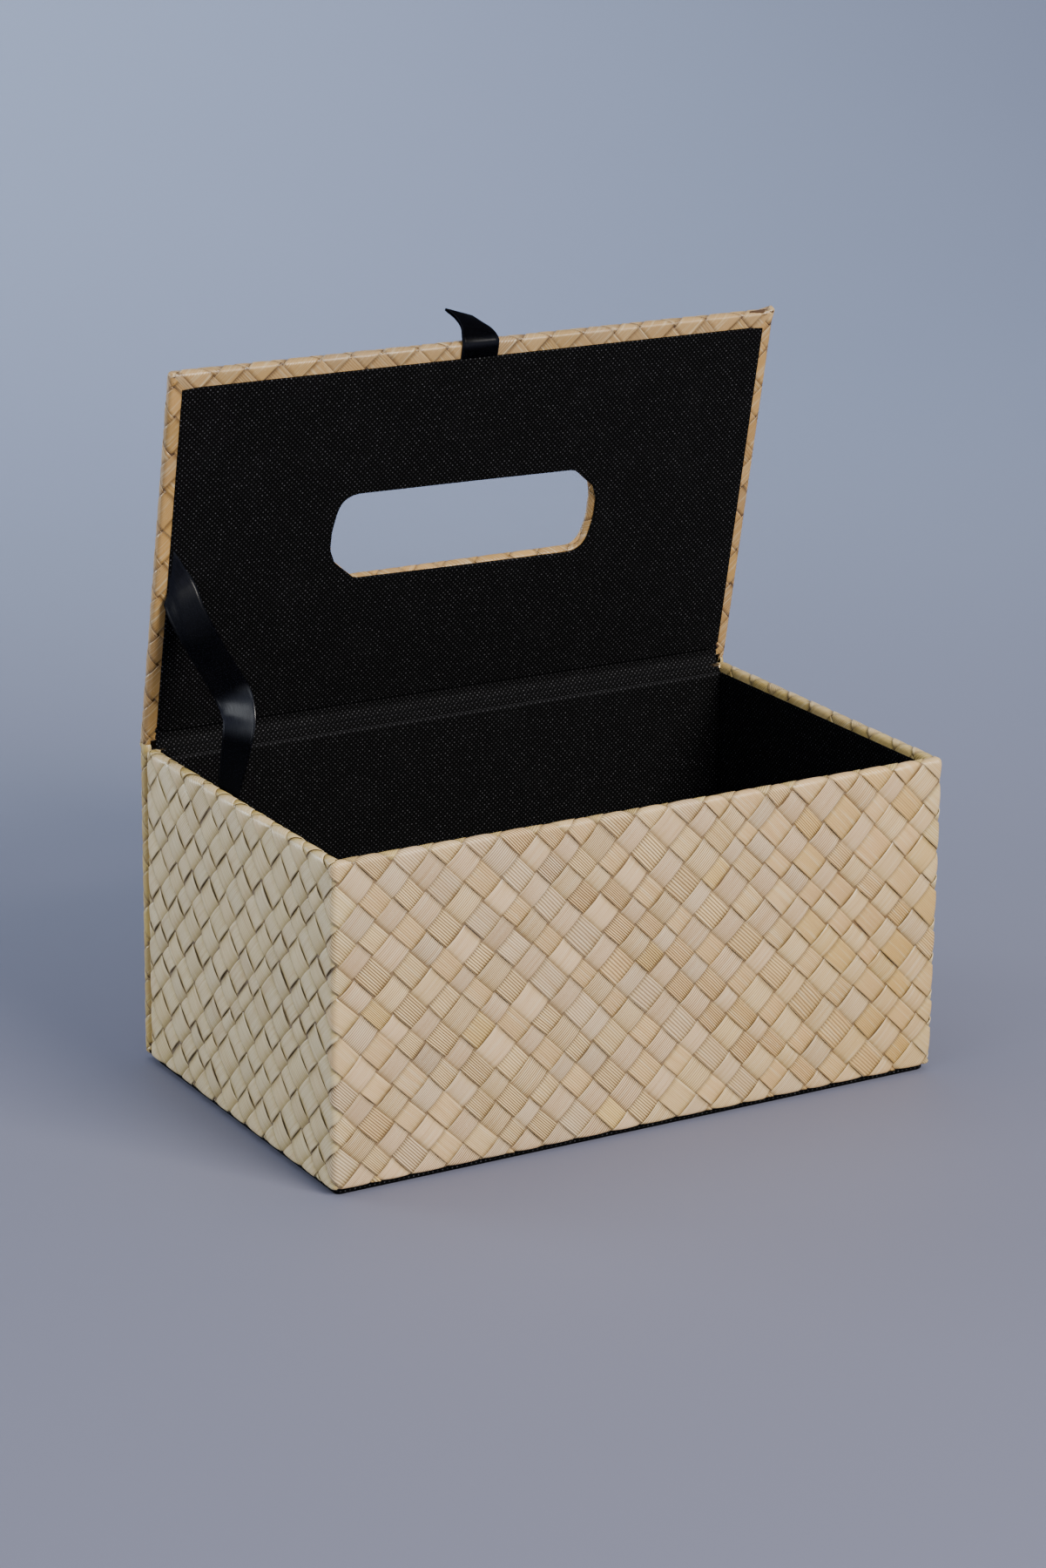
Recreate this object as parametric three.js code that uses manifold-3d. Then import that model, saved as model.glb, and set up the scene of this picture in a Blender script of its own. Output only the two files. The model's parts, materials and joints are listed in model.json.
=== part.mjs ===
// A woven tissue box: a greyboard tray and hinged lid wrapped in a bias-woven leaf mat, lined in black.
// Millimetres, +Z up. The origin is the centre of the tray's footprint, on the underside of its base plate.
// The front faces -Y and the hinge runs along X at the back. The lid stands open, as it does for refilling.

import * as THREE from "three";
import { mergeVertices } from "three/addons/utils/BufferGeometryUtils.js";
import Module from "manifold-3d";

const wasm = await Module();
wasm.setup();

// Overall sizes of the tray, over the crowns of the weave
const BOX_WIDTH = 250;
const BOX_DEPTH = 146;
const BOX_HEIGHT = 121;

// Sheet stock and the gaps between sheets
const BOARD = 2;
const MAT = 0.8;
const LINING = 0.8;
const CLOTH = 0.4;
const RIBBON = 0.25;
const GLUE = 0.1;
const SEAM = 0.3;

// Weave: the width of one leaf strip, and its rise where it passes over its neighbour
const STRIP_WIDTH = 9.6;
const CROWN = 0.5;
const RELIEF_LIFT = 0.1;
const RELIEF_ROOT = 0.4;

// Turned edges of the mats
const TRAY_FLAP = 12;
const TRAY_RETURN = 14;
const COVER_FLAP = 14;
const EDGE_ROUND = 1;
const CORNER_EASE = 0.3;

// Base plate and linings
const BASE = 2.6;
const BASE_INSET = 2;
const BASE_ROUND = 0.5;
const LINING_DROP = 3;
const LINING_ROUND = 0.25;

// Lid, hinge and tissue slot
const LID_ANGLE = 79;
const LID_SEAT = 0.3;
const HINGE_INSET = 0.5;
const HINGE_GAP = 2;
const LID_MARGIN = 4.2;
const LID_FRONT_MARGIN = 5.5;
const LID_BACK_MARGIN = 4;
const LINING_PROUD = 0.8;
const SLOT_LENGTH = 113;
const SLOT_WIDTH = 35;
const SLOT_END_FLAT = 20;
const SLOT_TAPER = 9;
const SLOT_BULGE = 2;
const SLOT_LIP = 1.3;
const COVER_DROP = 1;
const HINGE_BULGE = 1.6;

// Ribbons
const RIBBON_WIDTH = 15;
const TAB_REACH = 5.4;
const TAB_LEAN = 11.4;
const TAB_LOOP = 0.9;
const TAB_OFFSET = -2;
const STAY_ON_LID = 62;
const STAY_ON_WALL = 57.5;
const STAY_INSET = 3.75;
const STAY_UPRIGHT = 4;
const STAY_BULGE = 11;
const STAY_SLANT = 31;

// The stay ribbon's slack: places along its run, each with its shares of the bulge inwards and forwards,
// and the share of the run by which the ribbon has turned to lie along the wall
const STAY_SLACK = [
  { along: 0.3, inwards: 0.75, forwards: 0.1 },
  { along: 0.65, inwards: 0.8, forwards: 0.5 },
];
const STAY_TURNED = 0.8;

// Fineness of round stretches, and the distance within which vertices are one
const ROUND_SEGMENTS = 3;
const RIBBON_STEPS = 32;
const TAB_STEPS = 8;
const WELD = 1e-4;

// Faces of the layers, worked out from the sizes above. Offsets run inwards from the mat's outer face.
const RELIEF = RELIEF_LIFT + CROWN;
const SKIN_X = BOX_WIDTH / 2 - RELIEF;
const SKIN_FRONT = -BOX_DEPTH / 2 + RELIEF;
const SKIN_BACK = BOX_DEPTH / 2;
const BOARD_OUT = MAT + GLUE;
const BOARD_IN = BOARD_OUT + BOARD;
const FLAP_IN = BOARD_IN + GLUE;
const HEM = FLAP_IN + MAT;
const LINING_OUT = HEM + GLUE;
const LINING_IN = LINING_OUT + LINING;
const NOTCH_HALF = SKIN_X - HEM - SEAM;
const CORNER_ROUND = MAT + CORNER_EASE;
const COVER_CORNER = EDGE_ROUND + MAT / 2;
const MAT_BOTTOM = BASE + GLUE;
const BOARD_BOTTOM = MAT_BOTTOM + MAT + GLUE;
const BOARD_TOP = BOX_HEIGHT - MAT - GLUE;
const FLOOR_TOP = BOARD_BOTTOM + BOARD;
const FLOOR_LINING_TOP = FLOOR_TOP + GLUE + LINING;
const LINING_TOP = BOX_HEIGHT - LINING_DROP;

// Lid layers, as heights over the hinge axis while the lid is shut
const LID_HEM_FACE = LID_SEAT + LINING_PROUD;
const LID_BOARD_FACE = LID_HEM_FACE + MAT + GLUE;
const LID_BOARD_BACK = LID_BOARD_FACE + BOARD;
const LID_SKIN = LID_BOARD_BACK + GLUE + MAT;
const HINGE_Y = SKIN_BACK - HINGE_INSET;
const LID_LENGTH = HINGE_Y + BOX_DEPTH / 2;
const SLOT_CENTRE = (HINGE_GAP + LID_LENGTH) / 2;
const LID_TILT = THREE.MathUtils.degToRad(LID_ANGLE);

// Back cover layers, as distances behind the tray
const COVER_FACE = SKIN_BACK + GLUE;
const COVER_BOARD_FACE = COVER_FACE + MAT + GLUE;
const COVER_BOARD_BACK = COVER_BOARD_FACE + BOARD;
const COVER_SKIN = COVER_BOARD_BACK + GLUE + MAT;
const COVER_TOP = BOX_HEIGHT - COVER_DROP;

const STRAW = new THREE.MeshStandardMaterial({ color: 0xc9b48c, roughness: 0.55, metalness: 0 });
const GREYBOARD = new THREE.MeshStandardMaterial({ color: 0x8c8578, roughness: 0.9, metalness: 0 });
const BLACK_LINING = new THREE.MeshStandardMaterial({ color: 0x121214, roughness: 0.75, metalness: 0 });
const BLACK_SATIN = new THREE.MeshStandardMaterial({ color: 0x0e0f14, roughness: 0.35, metalness: 0 });

const box = new THREE.Group();
const lid = new THREE.Group();
lid.position.set(0, HINGE_Y, BOX_HEIGHT);
lid.rotation.x = -LID_TILT;
box.add(lid);

// Adds one named piece to a group.
function piece(group, name, geometry, material) {
  const mesh = new THREE.Mesh(geometry, material);
  mesh.name = name;
  group.add(mesh);
}

// A closed geometry as a solid that can be joined and cut.
function solid(geometry) {
  const bare = new THREE.BufferGeometry();
  bare.setAttribute("position", geometry.getAttribute("position").clone());
  bare.setIndex(geometry.index);
  const merged = mergeVertices(bare, WELD);
  const corners = merged.index.array;
  const triVerts = [];
  for (let i = 0; i < corners.length; i += 3) {
    const [a, b, c] = corners.slice(i, i + 3);
    if (a !== b && b !== c && c !== a) triVerts.push(a, b, c);
  }
  return new wasm.Manifold(
    new wasm.Mesh({
      numProp: 3,
      vertProperties: merged.getAttribute("position").array,
      triVerts: new Uint32Array(triVerts),
    }),
  );
}

// The geometry of a solid after its joins and cuts.
function geometryOf(shape) {
  const mesh = shape.getMesh();
  const geometry = new THREE.BufferGeometry();
  geometry.setAttribute("position", new THREE.BufferAttribute(mesh.vertProperties, mesh.numProp));
  geometry.setIndex(new THREE.BufferAttribute(mesh.triVerts, 1));
  return geometry;
}

// An outline carried straight up from one height to another.
function prism(outline, bottom, top) {
  const geometry = new THREE.ExtrudeGeometry(outline, {
    depth: top - bottom,
    bevelEnabled: false,
    curveSegments: ROUND_SEGMENTS,
  });
  return geometry.translate(0, 0, bottom);
}

// A flat panel whose edges are rounded over by a small radius, within its outline.
function panel(outline, bottom, top, round) {
  const geometry = new THREE.ExtrudeGeometry(outline, {
    depth: top - bottom - 2 * round,
    bevelThickness: round,
    bevelSize: round,
    bevelOffset: -round,
    bevelSegments: 1,
    curveSegments: ROUND_SEGMENTS,
  });
  return geometry.translate(0, 0, bottom + round);
}

// A rectangle between two corners, with an optional corner radius.
function rectangle(left, bottom, right, top, radius = 0) {
  const outline = new THREE.Shape();
  if (radius === 0) {
    outline.moveTo(left, bottom).lineTo(right, bottom).lineTo(right, top).lineTo(left, top);
    return outline.closePath();
  }
  const turn = Math.PI / 2;
  outline.absarc(left + radius, bottom + radius, radius, 2 * turn, 3 * turn);
  outline.absarc(right - radius, bottom + radius, radius, 3 * turn, 4 * turn);
  outline.absarc(right - radius, top - radius, radius, 0, turn);
  outline.absarc(left + radius, top - radius, radius, turn, 2 * turn);
  return outline.closePath();
}

// The frame of an upright face seen from outside: X to the viewer's right, Y up, Z out of the face.
function uprightFace(right, at) {
  const up = new THREE.Vector3(0, 0, 1);
  const out = new THREE.Vector3().crossVectors(right, up);
  return new THREE.Matrix4().makeBasis(right, up, out).setPosition(at);
}

// A closed solid through stations, each of which places the points of one closed profile. The two halves
// of the profile are split along opposite diagonals, so a thin strip keeps its thickness where it twists.
function loft(profile, stations) {
  const ring = THREE.ShapeUtils.isClockWise(profile) ? profile.toReversed() : profile;
  const count = ring.length;
  const positions = stations.flatMap((place) => ring.flatMap((point) => place(point).toArray()));
  const triangles = [];
  for (let s = 0; s < stations.length - 1; s++) {
    for (let k = 0; k < count; k++) {
      const a = s * count + k;
      const b = s * count + ((k + 1) % count);
      if (2 * k < count) triangles.push(a, b, b + count, a, b + count, a + count);
      else triangles.push(a, b, a + count, b, b + count, a + count);
    }
  }
  const last = (stations.length - 1) * count;
  for (const [a, b, c] of THREE.ShapeUtils.triangulateShape(ring, [])) {
    triangles.push(c, b, a, last + a, last + b, last + c);
  }
  const geometry = new THREE.BufferGeometry();
  geometry.setAttribute("position", new THREE.Float32BufferAttribute(positions, 3));
  return geometry.setIndex(triangles);
}

// A strip of even thickness along a curve in the YZ plane, as wide as the two X limits.
function stripAlong(curve, thickness, steps, left, right) {
  const points = curve.getPoints(steps);
  const sides = [[], []];
  points.forEach((point, i) => {
    const before = points[Math.max(i - 1, 0)];
    const after = points[Math.min(i + 1, points.length - 1)];
    const normal = new THREE.Vector2(before.y - after.y, after.x - before.x).setLength(thickness / 2);
    sides[0].push(point.clone().add(normal));
    sides[1].unshift(point.clone().sub(normal));
  });
  const stations = [left, right].map((x) => (point) => new THREE.Vector3(x, point.x, point.y));
  return loft(sides.flat(), stations);
}

// A curve in the YZ plane of straight runs through its points, with each inner corner eased.
function easedPath(points, ease) {
  const path = new THREE.CurvePath();
  let start = points[0];
  for (let i = 1; i < points.length - 1; i++) {
    const corner = points[i];
    const enter = corner.clone().add(start.clone().sub(corner).setLength(ease));
    const leave = corner.clone().add(points[i + 1].clone().sub(corner).setLength(ease));
    path.add(new THREE.LineCurve(start, enter));
    path.add(new THREE.QuadraticBezierCurve(enter, corner, leave));
    start = leave;
  }
  path.add(new THREE.LineCurve(start, points.at(-1)));
  return path;
}

// The world place of a point on the lid: across, out from the hinge, and above the shut lid's seat plane.
function onLid(across, reach, height) {
  const axis = new THREE.Vector3(1, 0, 0);
  const turned = new THREE.Vector3(0, -reach, height).applyAxisAngle(axis, -LID_TILT);
  return new THREE.Vector3(across, HINGE_Y + turned.y, BOX_HEIGHT + turned.z);
}

// Plain bias weave as a relief on the XY plane, trimmed to an outline. Strips run at 45 degrees both ways.
// In each square cell one strip is on top: it arches along its own length, from the valley up to its crown
// and down again, and its two long edges stand clear of the strips that dive under it.
function wovenRelief(outline, shift) {
  const corners = outline.getPoints();
  const reach = Math.max(...corners.map((corner) => corner.length())) + 2 * STRIP_WIDTH;
  const half = Math.ceil(reach / STRIP_WIDTH);
  const phase = shift % (STRIP_WIDTH * Math.SQRT2);
  const positions = [];
  const triangles = [];
  const known = new Map();
  // The vertex at lattice place (i, j), which may be a half cell, at a height over the valley.
  const vertex = (i, j, height) => {
    const key = `${i},${j},${height}`;
    if (!known.has(key)) {
      known.set(key, positions.length / 3);
      const x = ((i - j) * STRIP_WIDTH) / Math.SQRT2 + phase;
      const y = ((i + j) * STRIP_WIDTH) / Math.SQRT2;
      positions.push(x, y, height);
    }
    return known.get(key);
  };
  const quad = (a, b, c, d) => triangles.push(a, b, c, a, c, d);
  const cell = (i, j) => {
    const [p, q] = [vertex(i, j, 0), vertex(i + 1, j, 0)];
    const [r, s] = [vertex(i + 1, j + 1, 0), vertex(i, j + 1, 0)];
    if ((i + j) % 2 === 0) {
      const near = vertex(i + 0.5, j, CROWN);
      const far = vertex(i + 0.5, j + 1, CROWN);
      quad(p, near, far, s);
      quad(near, q, r, far);
      triangles.push(p, q, near, s, far, r);
    } else {
      const near = vertex(i, j + 0.5, CROWN);
      const far = vertex(i + 1, j + 0.5, CROWN);
      quad(p, q, far, near);
      quad(near, far, r, s);
      triangles.push(p, near, s, q, r, far);
    }
  };
  for (let i = -half; i < half; i++) {
    for (let j = -half; j < half; j++) cell(i, j);
  }
  // The root under the relief: a skirt from each edge of the lattice down to a flat back
  const edge = Array.from({ length: 2 * half }, (_, k) => k - half);
  const rim = [
    ...edge.map((k) => [k, -half]),
    ...edge.map((k) => [half, k]),
    ...edge.map((k) => [-k, half]),
    ...edge.map((k) => [-half, -k]),
  ];
  rim.forEach(([i, j], k) => {
    const [m, n] = rim[(k + 1) % rim.length];
    quad(vertex(i, j, -RELIEF_ROOT), vertex(m, n, -RELIEF_ROOT), vertex(m, n, 0), vertex(i, j, 0));
  });
  const middle = vertex(0, 0, -RELIEF_ROOT);
  rim.forEach(([i, j], k) => {
    const [m, n] = rim[(k + 1) % rim.length];
    triangles.push(middle, vertex(m, n, -RELIEF_ROOT), vertex(i, j, -RELIEF_ROOT));
  });
  const geometry = new THREE.BufferGeometry();
  geometry.setAttribute("position", new THREE.Float32BufferAttribute(positions, 3));
  geometry.setIndex(triangles);
  const trim = solid(prism(outline, -2 * RELIEF_ROOT, 2 * CROWN));
  return geometryOf(solid(geometry).intersect(trim)).translate(0, 0, RELIEF_LIFT);
}

// One run of the tray mat's section: bottom flange, outer face, rounded rim, and flap inside the wall.
function traySection() {
  const bottom = MAT_BOTTOM;
  const top = BOX_HEIGHT;
  const section = new THREE.Shape();
  section.moveTo(TRAY_FLAP, bottom).lineTo(0, bottom).lineTo(0, top - EDGE_ROUND);
  section.absarc(EDGE_ROUND, top - EDGE_ROUND, EDGE_ROUND, Math.PI, Math.PI / 2, true);
  section.absarc(HEM - EDGE_ROUND, top - EDGE_ROUND, EDGE_ROUND, Math.PI / 2, 0, true);
  section.lineTo(HEM, top - TRAY_FLAP).lineTo(FLAP_IN, top - TRAY_FLAP).lineTo(FLAP_IN, top - MAT);
  section.lineTo(MAT, top - MAT).lineTo(MAT, bottom + MAT).lineTo(TRAY_FLAP, bottom + MAT);
  return section.getPoints(ROUND_SEGMENTS);
}

// Stations round the tray, from the left end of the mat on the back to the right end. A section point is
// its distance inside the mat's outer face and its height. Corners are rounded on the outside only.
function trayStations() {
  const west = new THREE.Vector2(-1, 0);
  const south = new THREE.Vector2(0, -1);
  const east = new THREE.Vector2(1, 0);
  const north = new THREE.Vector2(0, 1);
  const corners = [
    [-SKIN_X, SKIN_BACK, north, west],
    [-SKIN_X, SKIN_FRONT, west, south],
    [SKIN_X, SKIN_FRONT, south, east],
    [SKIN_X, SKIN_BACK, east, north],
  ];
  const backEnd = (side) => (point) =>
    new THREE.Vector3(side * (SKIN_X - TRAY_RETURN), SKIN_BACK - point.x, point.y);
  const round = corners.flatMap(([x, y, before, after]) =>
    Array.from({ length: ROUND_SEGMENTS + 1 }, (_, k) => (point) => {
      const radius = Math.max(CORNER_ROUND - point.x, 0);
      const inset = Math.max(CORNER_ROUND, point.x);
      const angle = (k / ROUND_SEGMENTS) * (Math.PI / 2);
      const out = before.clone().multiplyScalar(radius * Math.cos(angle) - inset);
      out.addScaledVector(after, radius * Math.sin(angle) - inset);
      return new THREE.Vector3(x + out.x, y + out.y, point.y);
    }),
  );
  return [backEnd(-1), ...round, backEnd(1)];
}

// Tray mat: one piece of weave wrapped round the walls, turned over the rim and under the floor. Its ends on
// the back are notched at the rim, where the hinge cloth passes over the wall.
function trayMat() {
  const low = MAT_BOTTOM + SEAM;
  const high = BOX_HEIGHT - EDGE_ROUND - SEAM;
  const edge = CORNER_ROUND + SEAM;
  const sideHalf = (SKIN_BACK - SKIN_FRONT) / 2;
  const sideMiddle = (SKIN_BACK + SKIN_FRONT) / 2;
  const frontOutline = rectangle(-SKIN_X + edge, low, SKIN_X - edge, high);
  const sideOutline = rectangle(-sideHalf + edge, low, sideHalf - edge, high);
  const frontFace = uprightFace(new THREE.Vector3(1, 0, 0), new THREE.Vector3(0, SKIN_FRONT, 0));
  const leftFace = uprightFace(new THREE.Vector3(0, -1, 0), new THREE.Vector3(-SKIN_X, sideMiddle, 0));
  const rightFace = uprightFace(new THREE.Vector3(0, 1, 0), new THREE.Vector3(SKIN_X, sideMiddle, 0));
  const wrap = SKIN_X + sideHalf;
  const notch = rectangle(-NOTCH_HALF, SKIN_BACK - HEM - SEAM, NOTCH_HALF, SKIN_BACK + SEAM);
  return geometryOf(
    solid(loft(traySection(), trayStations()))
      .add(solid(wovenRelief(frontOutline, 0).applyMatrix4(frontFace)))
      .add(solid(wovenRelief(sideOutline, wrap).applyMatrix4(leftFace)))
      .add(solid(wovenRelief(sideOutline, -wrap).applyMatrix4(rightFace)))
      .subtract(solid(prism(notch, BOX_HEIGHT - TRAY_FLAP - SEAM, BOX_HEIGHT + SEAM))),
  );
}

// The tissue slot's outline, cut by hand: straight long sides, ends that bulge a little, two opposite corners
// rounded and the other two cut straight.
function slotOutline(grow) {
  const end = SLOT_LENGTH / 2 + grow;
  const side = SLOT_WIDTH / 2 + grow;
  const shoulder = end - SLOT_BULGE - SLOT_TAPER;
  const flat = SLOT_END_FLAT / 2;
  const turn = end - (SLOT_BULGE * side) / flat;
  const outline = new THREE.Path();
  outline.moveTo(-end + SLOT_BULGE, -flat).quadraticCurveTo(-turn, -side, -shoulder, -side);
  outline.lineTo(shoulder, -side).lineTo(end - SLOT_BULGE, -flat);
  outline.lineTo(end, 0).lineTo(end - SLOT_BULGE, flat);
  outline.quadraticCurveTo(turn, side, shoulder, side).lineTo(-shoulder, side);
  outline.lineTo(-end + SLOT_BULGE, flat).lineTo(-end, 0);
  const points = outline.closePath().getPoints(ROUND_SEGMENTS);
  return new THREE.Shape(points.map((point) => point.setY(point.y - SLOT_CENTRE)));
}

// A mat wrapped round a board: a rounded slab with a pocket for the board and a window between its flaps.
// The side where the mat runs on over the hinge is left open. A slot goes through with a rolled lip of mat.
function wrappedMat({ outline, pocket, window, skin, flapFace, boardFace, boardBack, relief, hinged }) {
  const slab = solid(panel(outline, flapFace, skin, EDGE_ROUND));
  const board = solid(prism(pocket, boardFace - GLUE, boardBack + GLUE));
  const opening = solid(prism(window, flapFace - MAT, boardFace));
  const trim = solid(prism(hinged, flapFace - MAT, skin + MAT));
  return slab.intersect(trim).subtract(board).subtract(opening).add(solid(relief.translate(0, 0, skin)));
}

// The slot's wall under its rounded lip, widening from the lip to the lining's edge.
function slotFlare() {
  const wide = solid(prism(slotOutline(0), LID_HEM_FACE, LID_BOARD_FACE));
  const narrow = solid(prism(slotOutline(-SLOT_LIP), LID_BOARD_FACE, LID_SKIN - EDGE_ROUND));
  return wasm.Manifold.hull([wide, narrow]);
}

// The lid in its own frame, shut: X across, -Y away from the hinge, Z up from the rim.
function lidPieces() {
  const half = BOX_WIDTH / 2;
  const front = -LID_LENGTH;
  const back = -HINGE_GAP;
  const boardHalf = half - BOARD_OUT;
  const boardFront = front + BOARD_OUT;

  const board = rectangle(-boardHalf, boardFront, boardHalf, back);
  board.holes.push(slotOutline(BOARD_OUT));
  piece(lid, "lid_board", prism(board, LID_BOARD_FACE, LID_BOARD_BACK), GREYBOARD);

  const outline = rectangle(-half, front, half, back + 2 * COVER_CORNER, COVER_CORNER);
  outline.holes.push(slotOutline(-SLOT_LIP));
  const pocket = rectangle(-boardHalf - GLUE, boardFront - GLUE, boardHalf + GLUE, back + COVER_CORNER);
  pocket.holes.push(slotOutline(MAT));
  const windowHalf = half - LID_MARGIN;
  const windowFront = front + LID_FRONT_MARGIN;
  const window = rectangle(-windowHalf, windowFront, windowHalf, back + COVER_CORNER);
  const reliefEdge = EDGE_ROUND + SEAM;
  const reliefOutline = rectangle(-half + reliefEdge, front + reliefEdge, half - reliefEdge, back - SEAM);
  reliefOutline.holes.push(slotOutline(reliefEdge - SLOT_LIP));
  const mat = wrappedMat({
    outline,
    pocket,
    window,
    skin: LID_SKIN,
    flapFace: LID_HEM_FACE,
    boardFace: LID_BOARD_FACE,
    boardBack: LID_BOARD_BACK,
    relief: wovenRelief(reliefOutline, 0),
    hinged: rectangle(-BOX_WIDTH, front - MAT, BOX_WIDTH, back),
  });
  piece(lid, "lid_mat", geometryOf(mat.subtract(slotFlare())), STRAW);

  const liningHalf = windowHalf - SEAM;
  const lining = rectangle(-liningHalf, windowFront + SEAM, liningHalf, back - LID_BACK_MARGIN);
  lining.holes.push(slotOutline(SEAM));
  piece(lid, "lid_lining", panel(lining, LID_SEAT, LID_BOARD_FACE - GLUE, LINING_ROUND), BLACK_LINING);

  // Pull tab: a ribbon doubled into a loop, both ends tucked under the lining's front edge
  const upper = LID_HEM_FACE - GLUE - RIBBON / 2;
  const lower = LID_SEAT + GLUE + RIBBON / 2;
  const tucked = windowFront + SEAM - GLUE;
  const tip = front - TAB_REACH;
  const inner = tip + TAB_LOOP;
  const lean = LID_HEM_FACE + TAB_LEAN;
  const loop = new THREE.CurvePath();
  const at = (y, z) => new THREE.Vector2(y, z);
  loop.add(new THREE.LineCurve(at(tucked, lower), at(front, lower)));
  loop.add(new THREE.QuadraticBezierCurve(at(front, lower), at(tip, lower), at(tip, lean)));
  const bend = TAB_LOOP / 2;
  loop.add(new THREE.EllipseCurve(tip + bend, lean, bend, bend, Math.PI, 0, true));
  loop.add(new THREE.QuadraticBezierCurve(at(inner, lean), at(inner, upper), at(front, upper)));
  loop.add(new THREE.LineCurve(at(front, upper), at(tucked, upper)));
  const left = TAB_OFFSET - RIBBON_WIDTH / 2;
  piece(lid, "pull_tab", stripAlong(loop, RIBBON, TAB_STEPS, left, left + RIBBON_WIDTH), BLACK_SATIN);
}

// Boards of the tray: the long walls run the full width, the short walls and the floor fit between them.
function trayBoards() {
  const outX = SKIN_X - BOARD_OUT;
  const inX = SKIN_X - BOARD_IN;
  const frontOut = SKIN_FRONT + BOARD_OUT;
  const frontIn = SKIN_FRONT + BOARD_IN;
  const backOut = SKIN_BACK - BOARD_OUT;
  const backIn = SKIN_BACK - BOARD_IN;
  const wall = (name, left, front, right, back) =>
    piece(box, name, prism(rectangle(left, front, right, back), BOARD_BOTTOM, BOARD_TOP), GREYBOARD);
  wall("front_wall_board", -outX, frontOut, outX, frontIn);
  wall("back_wall_board", -outX, backIn, outX, backOut);
  wall("left_wall_board", -outX, frontIn + GLUE, -inX, backIn - GLUE);
  wall("right_wall_board", inX, frontIn + GLUE, outX, backIn - GLUE);
  const floor = rectangle(-inX + GLUE, frontIn + GLUE, inX - GLUE, backIn - GLUE);
  piece(box, "floor_board", prism(floor, BOARD_BOTTOM, FLOOR_TOP), GREYBOARD);
  const base = rectangle(
    -BOX_WIDTH / 2 + BASE_INSET,
    -BOX_DEPTH / 2 + BASE_INSET,
    BOX_WIDTH / 2 - BASE_INSET,
    BOX_DEPTH / 2 - BASE_INSET,
    CORNER_ROUND,
  );
  piece(box, "base_plate", panel(base, 0, BASE, BASE_ROUND), BLACK_LINING);
}

// Linings of the tray: thin covered cards inside each wall, a little below the rim, and one dropped in last
// between them on the floor.
function trayLinings() {
  const outX = SKIN_X - LINING_OUT;
  const inX = SKIN_X - LINING_IN;
  const frontOut = SKIN_FRONT + LINING_OUT;
  const frontIn = SKIN_FRONT + LINING_IN;
  const backOut = SKIN_BACK - LINING_OUT;
  const backIn = SKIN_BACK - LINING_IN;
  const floor = rectangle(-inX + GLUE, frontIn + GLUE, inX - GLUE, backIn - GLUE);
  piece(box, "floor_lining", panel(floor, FLOOR_TOP + GLUE, FLOOR_LINING_TOP, LINING_ROUND), BLACK_LINING);
  const bottom = FLOOR_TOP + GLUE;
  const card = (name, half, right, at) => {
    const outline = rectangle(-half, bottom, half, LINING_TOP);
    const geometry = panel(outline, 0, LINING, LINING_ROUND).applyMatrix4(uprightFace(right, at));
    piece(box, name, geometry, BLACK_LINING);
  };
  const sideHalf = (backIn - frontIn) / 2 - GLUE;
  const sideMiddle = (backIn + frontIn) / 2;
  card("front_lining", outX, new THREE.Vector3(-1, 0, 0), new THREE.Vector3(0, frontOut, 0));
  card("back_lining", outX, new THREE.Vector3(1, 0, 0), new THREE.Vector3(0, backOut, 0));
  card("left_lining", sideHalf, new THREE.Vector3(0, 1, 0), new THREE.Vector3(-outX, sideMiddle, 0));
  card("right_lining", sideHalf, new THREE.Vector3(0, -1, 0), new THREE.Vector3(outX, sideMiddle, 0));
}

// Back cover: the board of the book-like case that is glued to the tray's back, with its own turned mat.
function backCover() {
  const half = BOX_WIDTH / 2;
  const boardHalf = half - BOARD_OUT;
  const low = MAT_BOTTOM;
  const face = uprightFace(new THREE.Vector3(-1, 0, 0), new THREE.Vector3(0, 0, 0));
  const board = rectangle(-boardHalf, low + BOARD_OUT, boardHalf, COVER_TOP);
  const slab = prism(board, COVER_BOARD_FACE, COVER_BOARD_BACK).applyMatrix4(face);
  piece(box, "back_cover_board", slab, GREYBOARD);
  const reliefEdge = EDGE_ROUND + SEAM;
  const reliefOutline = rectangle(-half + reliefEdge, low + reliefEdge, half - reliefEdge, COVER_TOP - SEAM);
  const mat = wrappedMat({
    outline: rectangle(-half, low, half, COVER_TOP + 2 * COVER_CORNER, COVER_CORNER),
    pocket: rectangle(-boardHalf - GLUE, low + MAT, boardHalf + GLUE, COVER_TOP + COVER_CORNER),
    window: rectangle(-half + COVER_FLAP, low + COVER_FLAP, half - COVER_FLAP, COVER_TOP + COVER_CORNER),
    skin: COVER_SKIN,
    flapFace: COVER_FACE,
    boardFace: COVER_BOARD_FACE,
    boardBack: COVER_BOARD_BACK,
    relief: wovenRelief(reliefOutline, 0),
    hinged: rectangle(-BOX_WIDTH, low - MAT, BOX_WIDTH, COVER_TOP),
  });
  piece(box, "back_cover_mat", geometryOf(mat).applyMatrix4(face), STRAW);
}

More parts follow.
